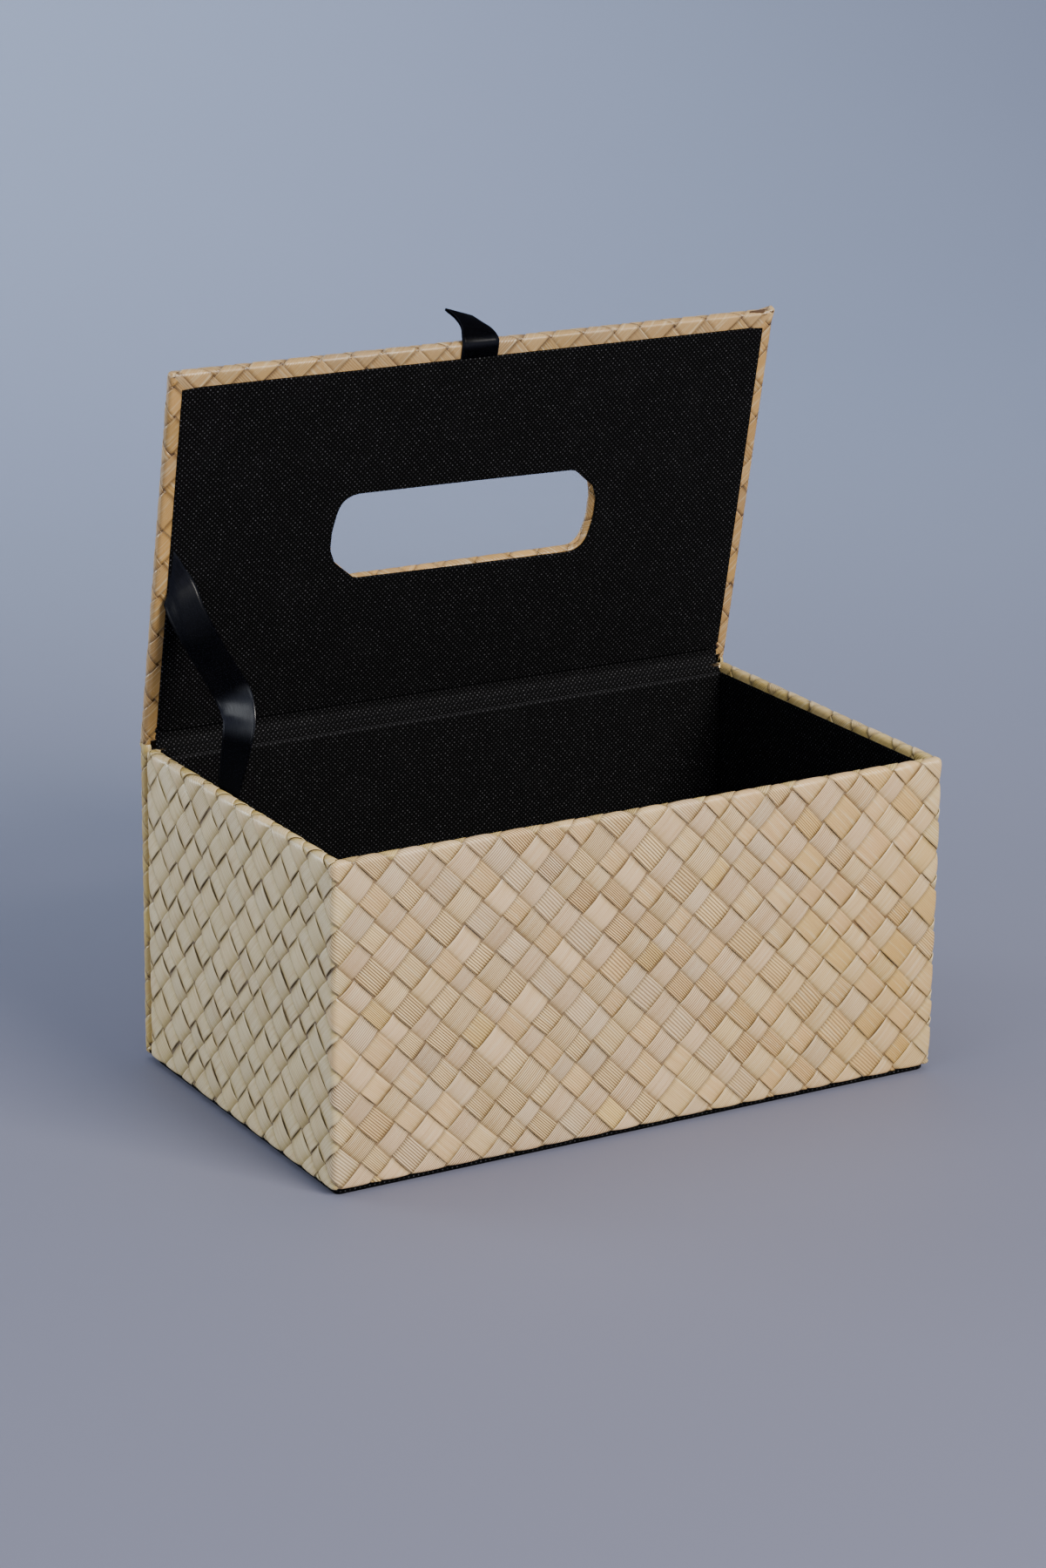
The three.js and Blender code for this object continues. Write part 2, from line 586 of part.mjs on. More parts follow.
// Hinge: the weave that runs on from the back cover to the lid, and the black cloth inside it.
function hinge() {
  const flat = (place) => new THREE.Vector2(place.y, place.z);
  const half = BOX_WIDTH / 2 - EDGE_ROUND;
  const coverEnd = new THREE.Vector2(COVER_SKIN - MAT / 2, COVER_TOP + SEAM);
  const lidEnd = flat(onLid(0, HINGE_GAP - SEAM, LID_SKIN - MAT / 2));
  const crease = coverEnd.clone().add(lidEnd).divideScalar(2);
  crease.x += HINGE_BULGE;
  const fold = new THREE.QuadraticBezierCurve(coverEnd, crease, lidEnd);
  piece(box, "hinge_mat", stripAlong(fold, MAT, 2 * ROUND_SEGMENTS, -half, half), STRAW);

  const inside = SKIN_BACK - BOARD_IN - GLUE - CLOTH / 2;
  const overWall = BOARD_TOP + GLUE + CLOTH / 2;
  const lidFace = LID_BOARD_FACE - GLUE - CLOTH / 2;
  const route = [
    new THREE.Vector2(inside, BOX_HEIGHT - TRAY_FLAP),
    new THREE.Vector2(inside, overWall),
    new THREE.Vector2(SKIN_BACK - BOARD_OUT, overWall),
    flat(onLid(0, HINGE_GAP + SEAM, lidFace)),
    flat(onLid(0, HINGE_GAP + LID_BACK_MARGIN - SEAM, lidFace)),
  ];
  const clothHalf = NOTCH_HALF - SEAM;
  const cloth = stripAlong(easedPath(route, CLOTH), CLOTH, ROUND_SEGMENTS, -clothHalf, clothHalf);
  piece(box, "hinge_cloth", cloth, BLACK_LINING);
}

// Stay ribbon: from the lid lining's left edge to the slit over the left wall's lining, slack and
// turned once on its way.
function stayRibbon() {
  const lidEdge = -BOX_WIDTH / 2 + LID_MARGIN + STAY_INSET;
  const wallFace = -SKIN_X + LINING_OUT + SEAM + RIBBON / 2;
  const wallY = HINGE_Y - STAY_ON_WALL;
  const start = onLid(lidEdge, STAY_ON_LID, LID_SEAT - GLUE - RIBBON);
  const end = new THREE.Vector3(wallFace, wallY, LINING_TOP + SEAM);
  const upright = end.clone().setZ(BOX_HEIGHT + STAY_UPRIGHT);
  const slack = STAY_SLACK.map(({ along, inwards, forwards }) => {
    const bulge = new THREE.Vector3(inwards, -forwards, 0).multiplyScalar(STAY_BULGE);
    return start.clone().lerp(upright, along).add(bulge);
  });
  const route = new THREE.CatmullRomCurve3([start, ...slack, upright, end]);
  const slant = THREE.MathUtils.degToRad(STAY_SLANT);
  const lidAcross = onLid(Math.cos(slant), Math.sin(slant), 0).sub(onLid(0, 0, 0));
  const wallAcross = new THREE.Vector3(0, -1, 0);
  const stations = Array.from({ length: RIBBON_STEPS + 1 }, (_, k) => {
    const share = k / RIBBON_STEPS;
    const centre = route.getPointAt(share);
    const along = route.getTangentAt(share);
    const across = lidAcross.clone().lerp(wallAcross, THREE.MathUtils.smoothstep(share, 0, STAY_TURNED));
    across.addScaledVector(along, -across.dot(along)).normalize();
    const face = new THREE.Vector3().crossVectors(along, across);
    return (point) => centre.clone().addScaledVector(across, point.x).addScaledVector(face, point.y);
  });
  const outline = rectangle(-RIBBON_WIDTH / 2, -RIBBON / 2, RIBBON_WIDTH / 2, RIBBON / 2);
  piece(box, "stay_ribbon", loft(outline.getPoints().slice(0, -1), stations), BLACK_SATIN);
}

trayBoards();
piece(box, "tray_mat", trayMat(), STRAW);
trayLinings();
backCover();
hinge();
lidPieces();
stayRibbon();

export default box;
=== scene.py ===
"""Looks of a woven tissue box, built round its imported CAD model.

The mats are made as flat sheets of woven floats in unrolled coordinates, scored along their fold lines and
then wrapped over boards, rims and hems. Linings, cloth and ribbons are numpy grids carried along paths.
All sizes are in metres, in the frame of the CAD model.
"""

from __future__ import annotations

import json
import logging
import math
from collections.abc import Callable, Iterable
from dataclasses import dataclass, field
from enum import Enum, IntEnum

import bmesh
import bpy
import numpy as np
from mathutils import Matrix, Vector


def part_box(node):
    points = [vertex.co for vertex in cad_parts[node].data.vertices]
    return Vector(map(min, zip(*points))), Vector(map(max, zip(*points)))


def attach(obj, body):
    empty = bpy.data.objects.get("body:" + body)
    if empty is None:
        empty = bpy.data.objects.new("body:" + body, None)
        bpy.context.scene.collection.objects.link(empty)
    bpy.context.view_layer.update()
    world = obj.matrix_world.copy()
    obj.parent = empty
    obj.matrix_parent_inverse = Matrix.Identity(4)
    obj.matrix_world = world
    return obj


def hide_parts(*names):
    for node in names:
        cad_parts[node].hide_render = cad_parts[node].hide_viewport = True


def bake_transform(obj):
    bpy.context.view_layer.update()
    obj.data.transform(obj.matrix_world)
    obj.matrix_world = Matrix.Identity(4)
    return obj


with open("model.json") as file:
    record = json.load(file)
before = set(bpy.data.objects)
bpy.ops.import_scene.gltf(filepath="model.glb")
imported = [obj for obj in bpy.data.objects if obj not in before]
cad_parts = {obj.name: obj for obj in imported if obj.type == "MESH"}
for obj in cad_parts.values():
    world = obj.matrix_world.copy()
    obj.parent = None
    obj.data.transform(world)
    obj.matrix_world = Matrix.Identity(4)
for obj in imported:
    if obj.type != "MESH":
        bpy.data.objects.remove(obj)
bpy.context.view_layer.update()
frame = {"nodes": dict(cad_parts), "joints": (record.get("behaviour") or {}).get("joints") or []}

MM = 0.001
CUT_REACH = 1e-7
PARALLEL = 1e-6
Array = np.ndarray
Colour = tuple[float, float, float]
Point = tuple[float, float, float]
Region = tuple[float, float, float, float]
Rgba = tuple[float, float, float, float]
Value = "Sock | float | tuple[float, ...]"
Tones = "tuple[tuple[LeafTone, float], ...]"
Material = bpy.types.Material
Piece = bpy.types.Object
log = logging.getLogger("tissue_box")


def linear(red: int, green: int, blue: int) -> Colour:
    """Display colour, 0 to 255 a channel, as linear light by the screen's standard curve.

    Args:
        red, green, blue: The colour as a screen shows it.

    Returns:
        The same colour in the renderer's linear values.
    """
    share = np.array([red, green, blue]) / 255
    light = np.where(share <= 0.04045, share / 12.92, ((share + 0.055) / 1.055) ** 2.4)
    return tuple(float(channel) for channel in light)


def smooth(value: Array, low: float, high: float) -> Array:
    """Smooth step from 0 at low to 1 at high: 3x squared less 2x cubed."""
    share = np.clip((value - low) / (high - low), 0, 1)
    return share * share * (3 - 2 * share)


def eased(count: int) -> Array:
    """Steps from -1 to 1 that lie closer at both ends: the sine of a half turn."""
    return np.sin(np.linspace(-math.pi / 2, math.pi / 2, count))


def rounded(gone: Array, radius: float) -> Array:
    """Height of a rounded edge, 0 at its rim: the root of one less the square of the share still to go."""
    left = np.clip(1 - gone / radius, 0, 1)
    return np.sqrt(np.clip(1 - left**2, 0, 1))


def unit(vectors: Array) -> Array:
    """Vectors of length 1 in the same directions."""
    return vectors / np.linalg.norm(vectors, axis=-1, keepdims=True)


def lengths(line: Array) -> Array:
    """Distance along a line from its start to each of its points."""
    return np.concatenate([[0.0], np.cumsum(np.linalg.norm(np.diff(line, axis=0), axis=1))])


def on_line(place: Array, gone: Array, values: Array) -> Array:
    """Values at places along a line, from the points' own distances and rows of values."""
    return np.stack([np.interp(place, gone, column) for column in values.T], axis=-1)


def tinted(tone: Array, colour: Array, share: Array) -> Array:
    """Tones, each with a share of one colour mixed in."""
    return tone * (1 - share[:, None]) + colour * share[:, None]


class Sock:
    """A shader value that arithmetic can be done on; each step adds one Math node."""

    def __init__(self, nodes: Nodes, socket: bpy.types.NodeSocket) -> None:
        """Wraps one output socket of a node tree."""
        self.nodes = nodes
        self.socket = socket

    def math(self, operation: str, *others: Value) -> Sock:
        """One Math node on this value and on its second and third inputs."""
        inputs = dict(enumerate((self, *others)))
        return self.nodes.node("ShaderNodeMath", {"operation": operation}, inputs)

    def __add__(self, other: Value) -> Sock:
        """Sum."""
        return self.math("ADD", other)

    def __sub__(self, other: Value) -> Sock:
        """Difference."""
        return self.math("SUBTRACT", other)

    def __rsub__(self, other: float) -> Sock:
        """Difference from a number."""
        return self.nodes.node("ShaderNodeMath", {"operation": "SUBTRACT"}, {0: other, 1: self})

    def __mul__(self, other: Value) -> Sock:
        """Product."""
        return self.math("MULTIPLY", other)

    def __truediv__(self, other: Value) -> Sock:
        """Quotient."""
        return self.math("DIVIDE", other)

    def __pow__(self, other: Value) -> Sock:
        """Power."""
        return self.math("POWER", other)

    __radd__ = __add__
    __rmul__ = __mul__

    def wave(self) -> Sock:
        """Cosine of a whole turn for each unit, from -1 to 1."""
        return (self * math.tau).math("COSINE")

    def step(self, low: float, high: float) -> Sock:
        """Smooth step from 0 at low to 1 at high."""
        settings = {"interpolation_type": "SMOOTHSTEP"}
        return self.nodes.node("ShaderNodeMapRange", settings, {0: self, 1: low, 2: high})


@dataclass(frozen=True)
class Band:
    """Where something starts, where it is full, and how much of it there then is."""

    low: float
    high: float
    share: float = 1.0

    def of(self, value: Sock | Array) -> Sock | Array:
        """The share at each value, by a smooth step.

        Args:
            value: A shader value or numbers.

        Returns:
            The shares, of the same kind.
        """
        if isinstance(value, Sock):
            risen = value.step(self.low, self.high)
        else:
            risen = smooth(value, self.low, self.high)
        return risen if self.share == 1 else risen * self.share


@dataclass(frozen=True)
class Noise:
    """How fine a noise is, on all axes or on each, and how many finer ones it holds."""

    scale: float | Point
    detail: float


class Nodes:
    """The node tree of one material."""

    def __init__(self, name: str) -> None:
        """Makes an empty material with a Principled shader.

        Args:
            name: The material's name.
        """
        self.material = bpy.data.materials.new(name)
        self.material.use_nodes = True
        self.tree = self.material.node_tree
        self.shader = self.tree.nodes["Principled BSDF"]

    def node(
        self, kind: str, settings: dict | None = None, inputs: dict | None = None, out: int | str = 0
    ) -> Sock:
        """Any node.

        Args:
            kind: The node's type.
            settings: Its properties, which are set first.
            inputs: Values or links of its sockets, by number or name.
            out: Which output to hand back.

        Returns:
            The chosen output.
        """
        made = self.tree.nodes.new(kind)
        for name, setting in (settings or {}).items():
            setattr(made, name, setting)
        for key, value in (inputs or {}).items():
            if isinstance(value, Sock):
                self.tree.links.new(value.socket, made.inputs[key])
            else:
                made.inputs[key].default_value = value
        return Sock(self, made.outputs[out])

    def attribute(self, name: str, out: str = "Fac") -> Sock:
        """A value that the piece's own mesh carries."""
        return self.node("ShaderNodeAttribute", {"attribute_name": name}, None, out)

    def place(self) -> Sock:
        """The point's own place on the piece, in metres."""
        return self.node("ShaderNodeTexCoord", None, None, "Object")

    def split(self, vector: Sock) -> tuple[Sock, Sock]:
        """The first two parts of a vector."""
        first = self.node("ShaderNodeSeparateXYZ", None, {0: vector})
        return first, Sock(self, first.socket.node.outputs[1])

    def noise(self, vector: Sock, noise: Noise) -> Sock:
        """Smooth noise about one half.

        Args:
            vector: Where the noise is read.
            noise: How fine it is.

        Returns:
            The noise.
        """
        scale = noise.scale
        if isinstance(scale, tuple):
            vector = self.node("ShaderNodeVectorMath", {"operation": "MULTIPLY"}, {0: vector, 1: scale})
            scale = 1.0
        inputs = {"Vector": vector, "Scale": scale, "Detail": noise.detail}
        return self.node("ShaderNodeTexNoise", None, inputs)

    def layered(self, ground: Sock | Colour, layers: Iterable[tuple[Sock, Colour]]) -> Sock:
        """Colours laid over a ground, one after the other.

        Args:
            ground: The first colour.
            layers: How much of each further colour there is, and the colour.

        Returns:
            The mixed colour.
        """
        mixed = ground if isinstance(ground, Sock) else (*ground, 1.0)
        settings = {"data_type": "RGBA", "clamp_factor": True}
        for share, colour in layers:
            mixed = self.node("ShaderNodeMix", settings, {0: share, 6: mixed, 7: (*colour, 1.0)}, 2)
        return mixed

    def finish(
        self, links: dict[str, Sock], constants: dict[str, Value], height: Sock, depth: float
    ) -> Material:
        """Connects the shader.

        Args:
            links: What varies over the surface, by shader socket.
            constants: What is the same all over, by shader socket.
            height: The relief.
            depth: How deep a relief of 1 is.

        Returns:
            The finished material.
        """
        for name, value in constants.items():
            self.shader.inputs[name].default_value = value
        for name, value in links.items():
            self.tree.links.new(value.socket, self.shader.inputs[name])
        relief = {"Height": height, "Distance": depth, "Strength": 1.0}
        bump = self.node("ShaderNodeBump", None, relief)
        self.tree.links.new(bump.socket, self.shader.inputs["Normal"])
        return self.material


@dataclass(frozen=True)
class LeafFinish:
    """Dry leaf strips: tone and rib style come from the weave, fibres and stains from noise."""

    groove_shade: Colour = linear(98, 67, 34)
    gap: Colour = linear(74, 50, 24)
    pale: Colour = linear(236, 222, 186)
    stain: Colour = linear(184, 148, 98)
    fibre: Noise = Noise((60.0, 4200.0, 1.0), 4.0)
    wander: Noise = Noise((220.0, 500.0, 1.0), 2.0)
    streak: Noise = Noise((45.0, 900.0, 1.0), 2.0)
    cloud: Noise = Noise(55.0, 3.0)
    speck: Noise = Noise(900.0, 2.0)
    clouded: Band = Band(0.56, 0.8, 0.3)
    streaked: Band = Band(0.5, 0.72, 0.4)
    faded: Band = Band(0.5, 0.72, 0.3)
    specked: Band = Band(0.64, 0.76, 0.14)
    edge: Band = Band(0.45, 0.495, 0.6)
    edge_highlight_break: Band = Band(0.4, 0.62)
    fibre_stain: float = 0.8
    least_stain: float = 0.06
    rib_wander: float = 0.25
    rib_sharp: float = 1.5
    rib_shade: float = 0.9
    rib_depth: float = 0.16 * MM
    rib_rise: float = 0.85
    fibre_rise: float = 0.12
    roughness: float = 0.34
    rib_rough: float = 0.2
    ridge_polish: float = 0.1
    fibre_rough: float = 0.25
    specular: float = 0.65

    def material(self) -> Material:
        """Lays stains, painted shade in the rib grooves, painted highlights along the strips' edges, and
        painted shade with some dirt where floats tuck under, over each strip's own tone.

        Returns:
            The leaf material.
        """
        nodes = Nodes("woven_leaf")
        names = ("leaf_rib", "leaf_depth", "leaf_across", "leaf_shade_and_dirt")
        rib, depth, across, shade_and_dirt = (nodes.attribute(name) for name in names)
        run = nodes.attribute("leaf_run", "Vector")
        place = nodes.place()
        fibre = nodes.noise(run, self.fibre)
        wander = nodes.noise(run, self.wander)
        streak = nodes.noise(run, self.streak)
        grain = fibre - 0.5
        ridge = (rib + (wander - 0.5) * self.rib_wander).wave() * 0.5 + 0.5
        # Painted shade in the rib grooves: the valleys of the rib wave are darkened in the colour.
        valley = ((1.0 - ridge) ** self.rib_sharp) * depth
        # Painted highlight along both long edges of each strip, broken up by noise.
        rim = self.edge.of((across - 0.5).math("ABSOLUTE")) * self.edge_highlight_break.of(wander)
        layers = (
            (grain * self.fibre_stain + self.least_stain, self.stain),
            (self.clouded.of(nodes.noise(place, self.cloud)), self.stain),
            (self.streaked.of(streak), self.stain),
            (self.faded.of(1.0 - streak), self.pale),
            (valley * self.rib_shade, self.groove_shade),
            (self.specked.of(nodes.noise(place, self.speck)), self.pale),
            (rim, self.pale),
            # Painted shade with some dirt where floats tuck under and along their edges.
            (shade_and_dirt, self.gap),
        )
        colour = nodes.layered(nodes.attribute("leaf_tone", "Color"), layers)
        rough = self.roughness + depth * self.rib_rough - ridge * self.ridge_polish
        links = {"Base Color": colour, "Roughness": rough + grain * self.fibre_rough}
        height = ridge * depth * self.rib_rise + fibre * self.fibre_rise
        return nodes.finish(links, {"Specular IOR Level": self.specular}, height, self.rib_depth)


@dataclass(frozen=True)
class LiningFinish:
    """Black non-woven cloth, embossed with a bias grid of small shiny bonds, their glints painted into its
    colour.
    """

    pitch: float = 1.35 * MM
    cloth: Colour = (0.0008, 0.0008, 0.001)
    bond_and_glint: Colour = (0.06, 0.06, 0.067)
    painted_light: Colour = (0.1, 0.1, 0.112)
    emboss: float = 0.14 * MM
    fuzz: Noise = Noise(2600.0, 3.0)
    cloud: Noise = Noise(60.0, 2.0)
    glint: Noise = Noise(1400.0, 0.0)
    dots: Band = Band(0.85, 1.55)
    glints: Band = Band(0.5, 0.72)
    dull_bond: float = 0.25
    cloud_share: float = 0.06
    painted_light_ground: float = 0.08
    fuzz_rise: float = 0.35
    dot_sink: float = 0.5
    roughness: float = 0.86
    dot_polish: float = 0.14
    glint_polish: float = 0.3
    specular: float = 0.07

    def material(self) -> Material:
        """Lays bonds on the sheet's own flat place: dots where two bias waves both peak, lighter as painted
        glints.

        Returns:
            The lining material.
        """
        nodes = Nodes("black_cloth")
        flat = nodes.attribute("flat_place", "Vector")
        right, up = nodes.split(flat)
        step = self.pitch * math.sqrt(2)
        rising = ((right + up) / step).wave()
        falling = ((right - up) / step).wave()
        dot = self.dots.of(rising + falling)
        glint = self.glints.of(nodes.noise(flat, self.glint))
        cloud = nodes.noise(flat, self.cloud) - 0.5
        painted_lit = nodes.attribute("cloth_painted_light")
        layers = (
            # Painted glints: the bonds made lighter in colour, most where the glint noise is high.
            (dot * (self.dull_bond + glint * (1 - self.dull_bond)), self.bond_and_glint),
            (cloud * self.cloud_share, self.bond_and_glint),
            # Painted light: lighter cloth, most of all at its bonds, by the share of painted light that the
            # piece carries.
            (painted_lit * (self.painted_light_ground + dot * (1 - self.painted_light_ground)), self.painted_light),
        )
        rough = self.roughness - dot * (self.dot_polish + glint * self.glint_polish)
        links = {"Base Color": nodes.layered(self.cloth, layers), "Roughness": rough}
        height = nodes.noise(flat, self.fuzz) * self.fuzz_rise - dot * self.dot_sink
        return nodes.finish(links, {"Specular IOR Level": self.specular}, height, self.emboss)


@dataclass(frozen=True)
class SatinFinish:
    """Black satin ribbon with fine weft lines and a cool sheen; glints and part of the sheen are painted into
    its colour.
    """

    colour: Colour = (0.0003, 0.0003, 0.0007)
    thread_and_glint: Colour = (0.012, 0.013, 0.020)
    sheen: Colour = (0.006, 0.008, 0.017)
    tint: Rgba = (0.86, 0.91, 1.0, 1.0)
    pitch: float = 0.22 * MM
    relief: float = 0.01 * MM
    streak: Noise = Noise((3800.0, 240.0, 1.0), 2.0)
    spark: Noise = Noise(3000.0, 0.0)
    sparks: Band = Band(0.6, 0.75, 0.5)
    selvedge: Band = Band(6.9 * MM, 7.3 * MM)
    selvedge_share: float = 0.3
    selvedge_rise: float = 0.6
    weft_rise: float = 0.2
    streak_rise: float = 0.5
    least_gloss: float = 0.38
    streak_gloss: float = 0.85
    sheen_share: float = 0.6
    roughness: float = 0.7
    streak_rough: float = 0.16
    specular: float = 0.02
    coat_roughness: float = 0.28
    anisotropy: float = 0.5

    def material(self) -> Material:
        """Lays painted glints, selvedges and a painted sheen on the ribbon's own flat place.

        Returns:
            The satin material.
        """
        nodes = Nodes("black_satin")
        flat = nodes.attribute("flat_place", "Vector")
        across, along = nodes.split(flat)
        streak = nodes.noise(flat, self.streak)
        selvedge = self.selvedge.of(across.math("ABSOLUTE"))
        spark = self.sparks.of(nodes.noise(flat, self.spark))
        gloss = nodes.attribute("satin_gloss") * (self.least_gloss + streak * self.streak_gloss)
        layers = (
            # Painted glints in random specks, and the lighter selvedges.
            (spark + selvedge * self.selvedge_share, self.thread_and_glint),
            # Painted sheen: a bluish colour where the ribbon shines, besides its real coat.
            (gloss * self.sheen_share, self.sheen),
        )
        rough = self.roughness + streak * self.streak_rough
        links = {
            "Base Color": nodes.layered(self.colour, layers),
            "Roughness": rough,
            "Coat Weight": gloss,
        }
        constants = {
            "Specular IOR Level": self.specular,
            "Coat Roughness": self.coat_roughness,
            "Specular Tint": self.tint,
            "Anisotropic": self.anisotropy,
        }
        weft = (along / self.pitch).wave() * self.weft_rise
        height = weft + streak * self.streak_rise + selvedge * self.selvedge_rise
        return nodes.finish(links, constants, height, self.relief)


@dataclass(frozen=True)
class BoardFinish:
    """Greyboard: matt grey-brown pulp with flecks."""

    pulp: Colour = linear(140, 132, 118)
    fleck: Colour = linear(92, 84, 72)
    grit: Noise = Noise(1400.0, 4.0)
    cloud: Noise = Noise(120.0, 2.0)
    flecked: Band = Band(0.5, 0.7)
    cloud_start: float = 0.4
    cloud_share: float = 0.5
    roughness: float = 0.85
    grit_rough: float = 0.1
    relief: float = 0.05 * MM

    def material(self) -> Material:
        """Mixes flecks into the pulp.

        Returns:
            The greyboard material.
        """
        nodes = Nodes("greyboard")
        place = nodes.place()
        grit = nodes.noise(place, self.grit)
        cloud = nodes.noise(place, self.cloud) - self.cloud_start
        layers = ((self.flecked.of(grit), self.fleck), (cloud * self.cloud_share, self.fleck))
        rough = self.roughness + grit * self.grit_rough
        links = {"Base Color": nodes.layered(self.pulp, layers), "Roughness": rough}
        return nodes.finish(links, {}, grit, self.relief)


@dataclass(frozen=True)
class FloorFinish:
    """Plain pale studio floor."""

    colour: Colour = (0.154, 0.161, 0.227)
    lighter: float = 1.06
    grain: Noise = Noise(3.0, 2.0)
    grain_share: float = 0.3
    roughness: float = 0.6
    grain_rough: float = 0.1
    relief: float = 0.01 * MM

    def material(self) -> Material:
        """Mixes a faint grain into the colour.

        Returns:
            The floor material.
        """
        nodes = Nodes("studio_floor")
        grain = nodes.noise(nodes.place(), self.grain)
        light = tuple(channel * self.lighter for channel in self.colour)
        colour = nodes.layered(self.colour, [(grain * self.grain_share, light)])
        rough = self.roughness + grain * self.grain_rough
        return nodes.finish({"Base Color": colour, "Roughness": rough}, {}, grain, self.relief)


KINDS = {1: ("FLOAT", "value"), 3: ("FLOAT_VECTOR", "vector"), 4: ("FLOAT_COLOR", "color")}


@dataclass
class Surface:
    """Points, faces and values of one piece, as whole arrays."""

    points: Array
    faces: Array
    values: dict[str, Array] = field(default_factory=dict)

    @staticmethod
    def grid(points: Array, values: dict[str, Array] | None = None, closed: bool = False) -> Surface:
        """A grid of rows and columns as quads.

        Args:
            points: Rows by columns by 3.
            values: Arrays of rows by columns, with any further size.
            closed: Whether the last row joins the first.

        Returns:
            The surface, facing the side from which rows by columns turn to the left.
        """
        rows, columns = points.shape[:2]
        index = np.arange(rows * columns).reshape(rows, columns)
        if closed:
            index = np.vstack([index, index[:1]])
        low, high = index[:-1], index[1:]
        quads = [low[:, :-1], high[:, :-1], high[:, 1:], low[:, 1:]]
        faces = np.stack(quads, axis=-1).reshape(-1, 4)
        flat = {key: np.asarray(v).reshape(rows * columns, -1) for key, v in (values or {}).items()}
        return Surface(points.reshape(-1, 3), faces, flat)

    @staticmethod
    def joined(parts: Iterable[Surface]) -> Surface:
        """Several surfaces of the same kind of face as one.

        Args:
            parts: The surfaces.

        Returns:
            The whole.
        """
        parts = list(parts)
        starts = np.cumsum([0] + [len(part.points) for part in parts[:-1]])
        faces = np.concatenate([part.faces + start for part, start in zip(parts, starts)])
        names = parts[0].values
        values = {name: np.concatenate([part.values[name] for part in parts]) for name in names}
        return Surface(np.concatenate([part.points for part in parts]), faces, values)

    def to_mesh(self, name: str) -> bpy.types.Mesh:
        """A Blender mesh with each value as a point attribute.

        Args:
            name: The mesh's name.

        Returns:
            The mesh.
        """
        mesh = bpy.data.meshes.new(name)
        starts = np.arange(0, self.faces.size, self.faces.shape[1], dtype=np.int32)
        mesh.vertices.add(len(self.points))
        mesh.vertices.foreach_set("co", self.points.astype(np.float32).ravel())
        mesh.loops.add(self.faces.size)
        mesh.loops.foreach_set("vertex_index", self.faces.astype(np.int32).ravel())
        mesh.polygons.add(len(self.faces))
        mesh.polygons.foreach_set("loop_start", starts)
        mesh.update(calc_edges=True)
        for key, value in self.values.items():
            kind, slot = KINDS[value.shape[1]]
            made = mesh.attributes.new(key, kind, "POINT")
            made.data.foreach_set(slot, value.astype(np.float32).ravel())
        return mesh

    @staticmethod
    def from_mesh(mesh: bpy.types.Mesh, names: Iterable[str]) -> Surface:
        """Reads a triangle mesh and its point attributes back into arrays.

        Args:
            mesh: The mesh, made of triangles.
            names: The attributes to read.

        Returns:
            The surface.
        """
        points = np.zeros(len(mesh.vertices) * 3, np.float32)
        mesh.vertices.foreach_get("co", points)
        faces = np.zeros(len(mesh.loops), np.int32)
        mesh.loops.foreach_get("vertex_index", faces)
        widths = {kind: (width, slot) for width, (kind, slot) in KINDS.items()}
        values = {}
        for name in names:
            made = mesh.attributes[name]
            width, slot = widths[made.data_type]
            read = np.zeros(len(mesh.vertices) * width, np.float32)
            made.data.foreach_get(slot, read)
            values[name] = read.reshape(-1, width)
        return Surface(points.reshape(-1, 3).astype(float), faces.reshape(-1, 3), values)

    def kept(self, mask: Array) -> Surface:
        """The faces that a mask keeps, with the points that they use.

        Args:
            mask: True for each face that stays.

        Returns:
            The smaller surface.
        """
        faces = self.faces[mask]
        used, index = np.unique(faces, return_inverse=True)
        values = {name: value[used] for name, value in self.values.items()}
        return Surface(self.points[used], index.reshape(faces.shape), values)

    def turned(self) -> Surface:
        """The same surface, facing the other way."""
        return Surface(self.points, self.faces[:, ::-1], self.values)

    def centres(self) -> Array:
        """The middle of each face."""
        return self.points[self.faces].mean(axis=1)

    def piece(self, name: str, material: Material) -> Piece:
        """A smooth-shaded object of the surface.

        Args:
            name: The piece's name.
            material: Its finish.

        Returns:
            The object, at the origin.
        """
        mesh = self.to_mesh(name)
        mesh.materials.append(material)
        mesh.polygons.foreach_set("use_smooth", np.ones(len(mesh.polygons), bool))
        made = bpy.data.objects.new(name, mesh)
        bpy.context.scene.collection.objects.link(made)
        return made


@dataclass(frozen=True)
class Fold:
    """One rounded corner of a path: where its bend starts and ends along the path."""

    start: float
    end: float

    def scores(self, count: int) -> Array:
        """Places along the path where a sheet is scored so that it bends there."""
        return np.linspace(self.start, self.end, count)


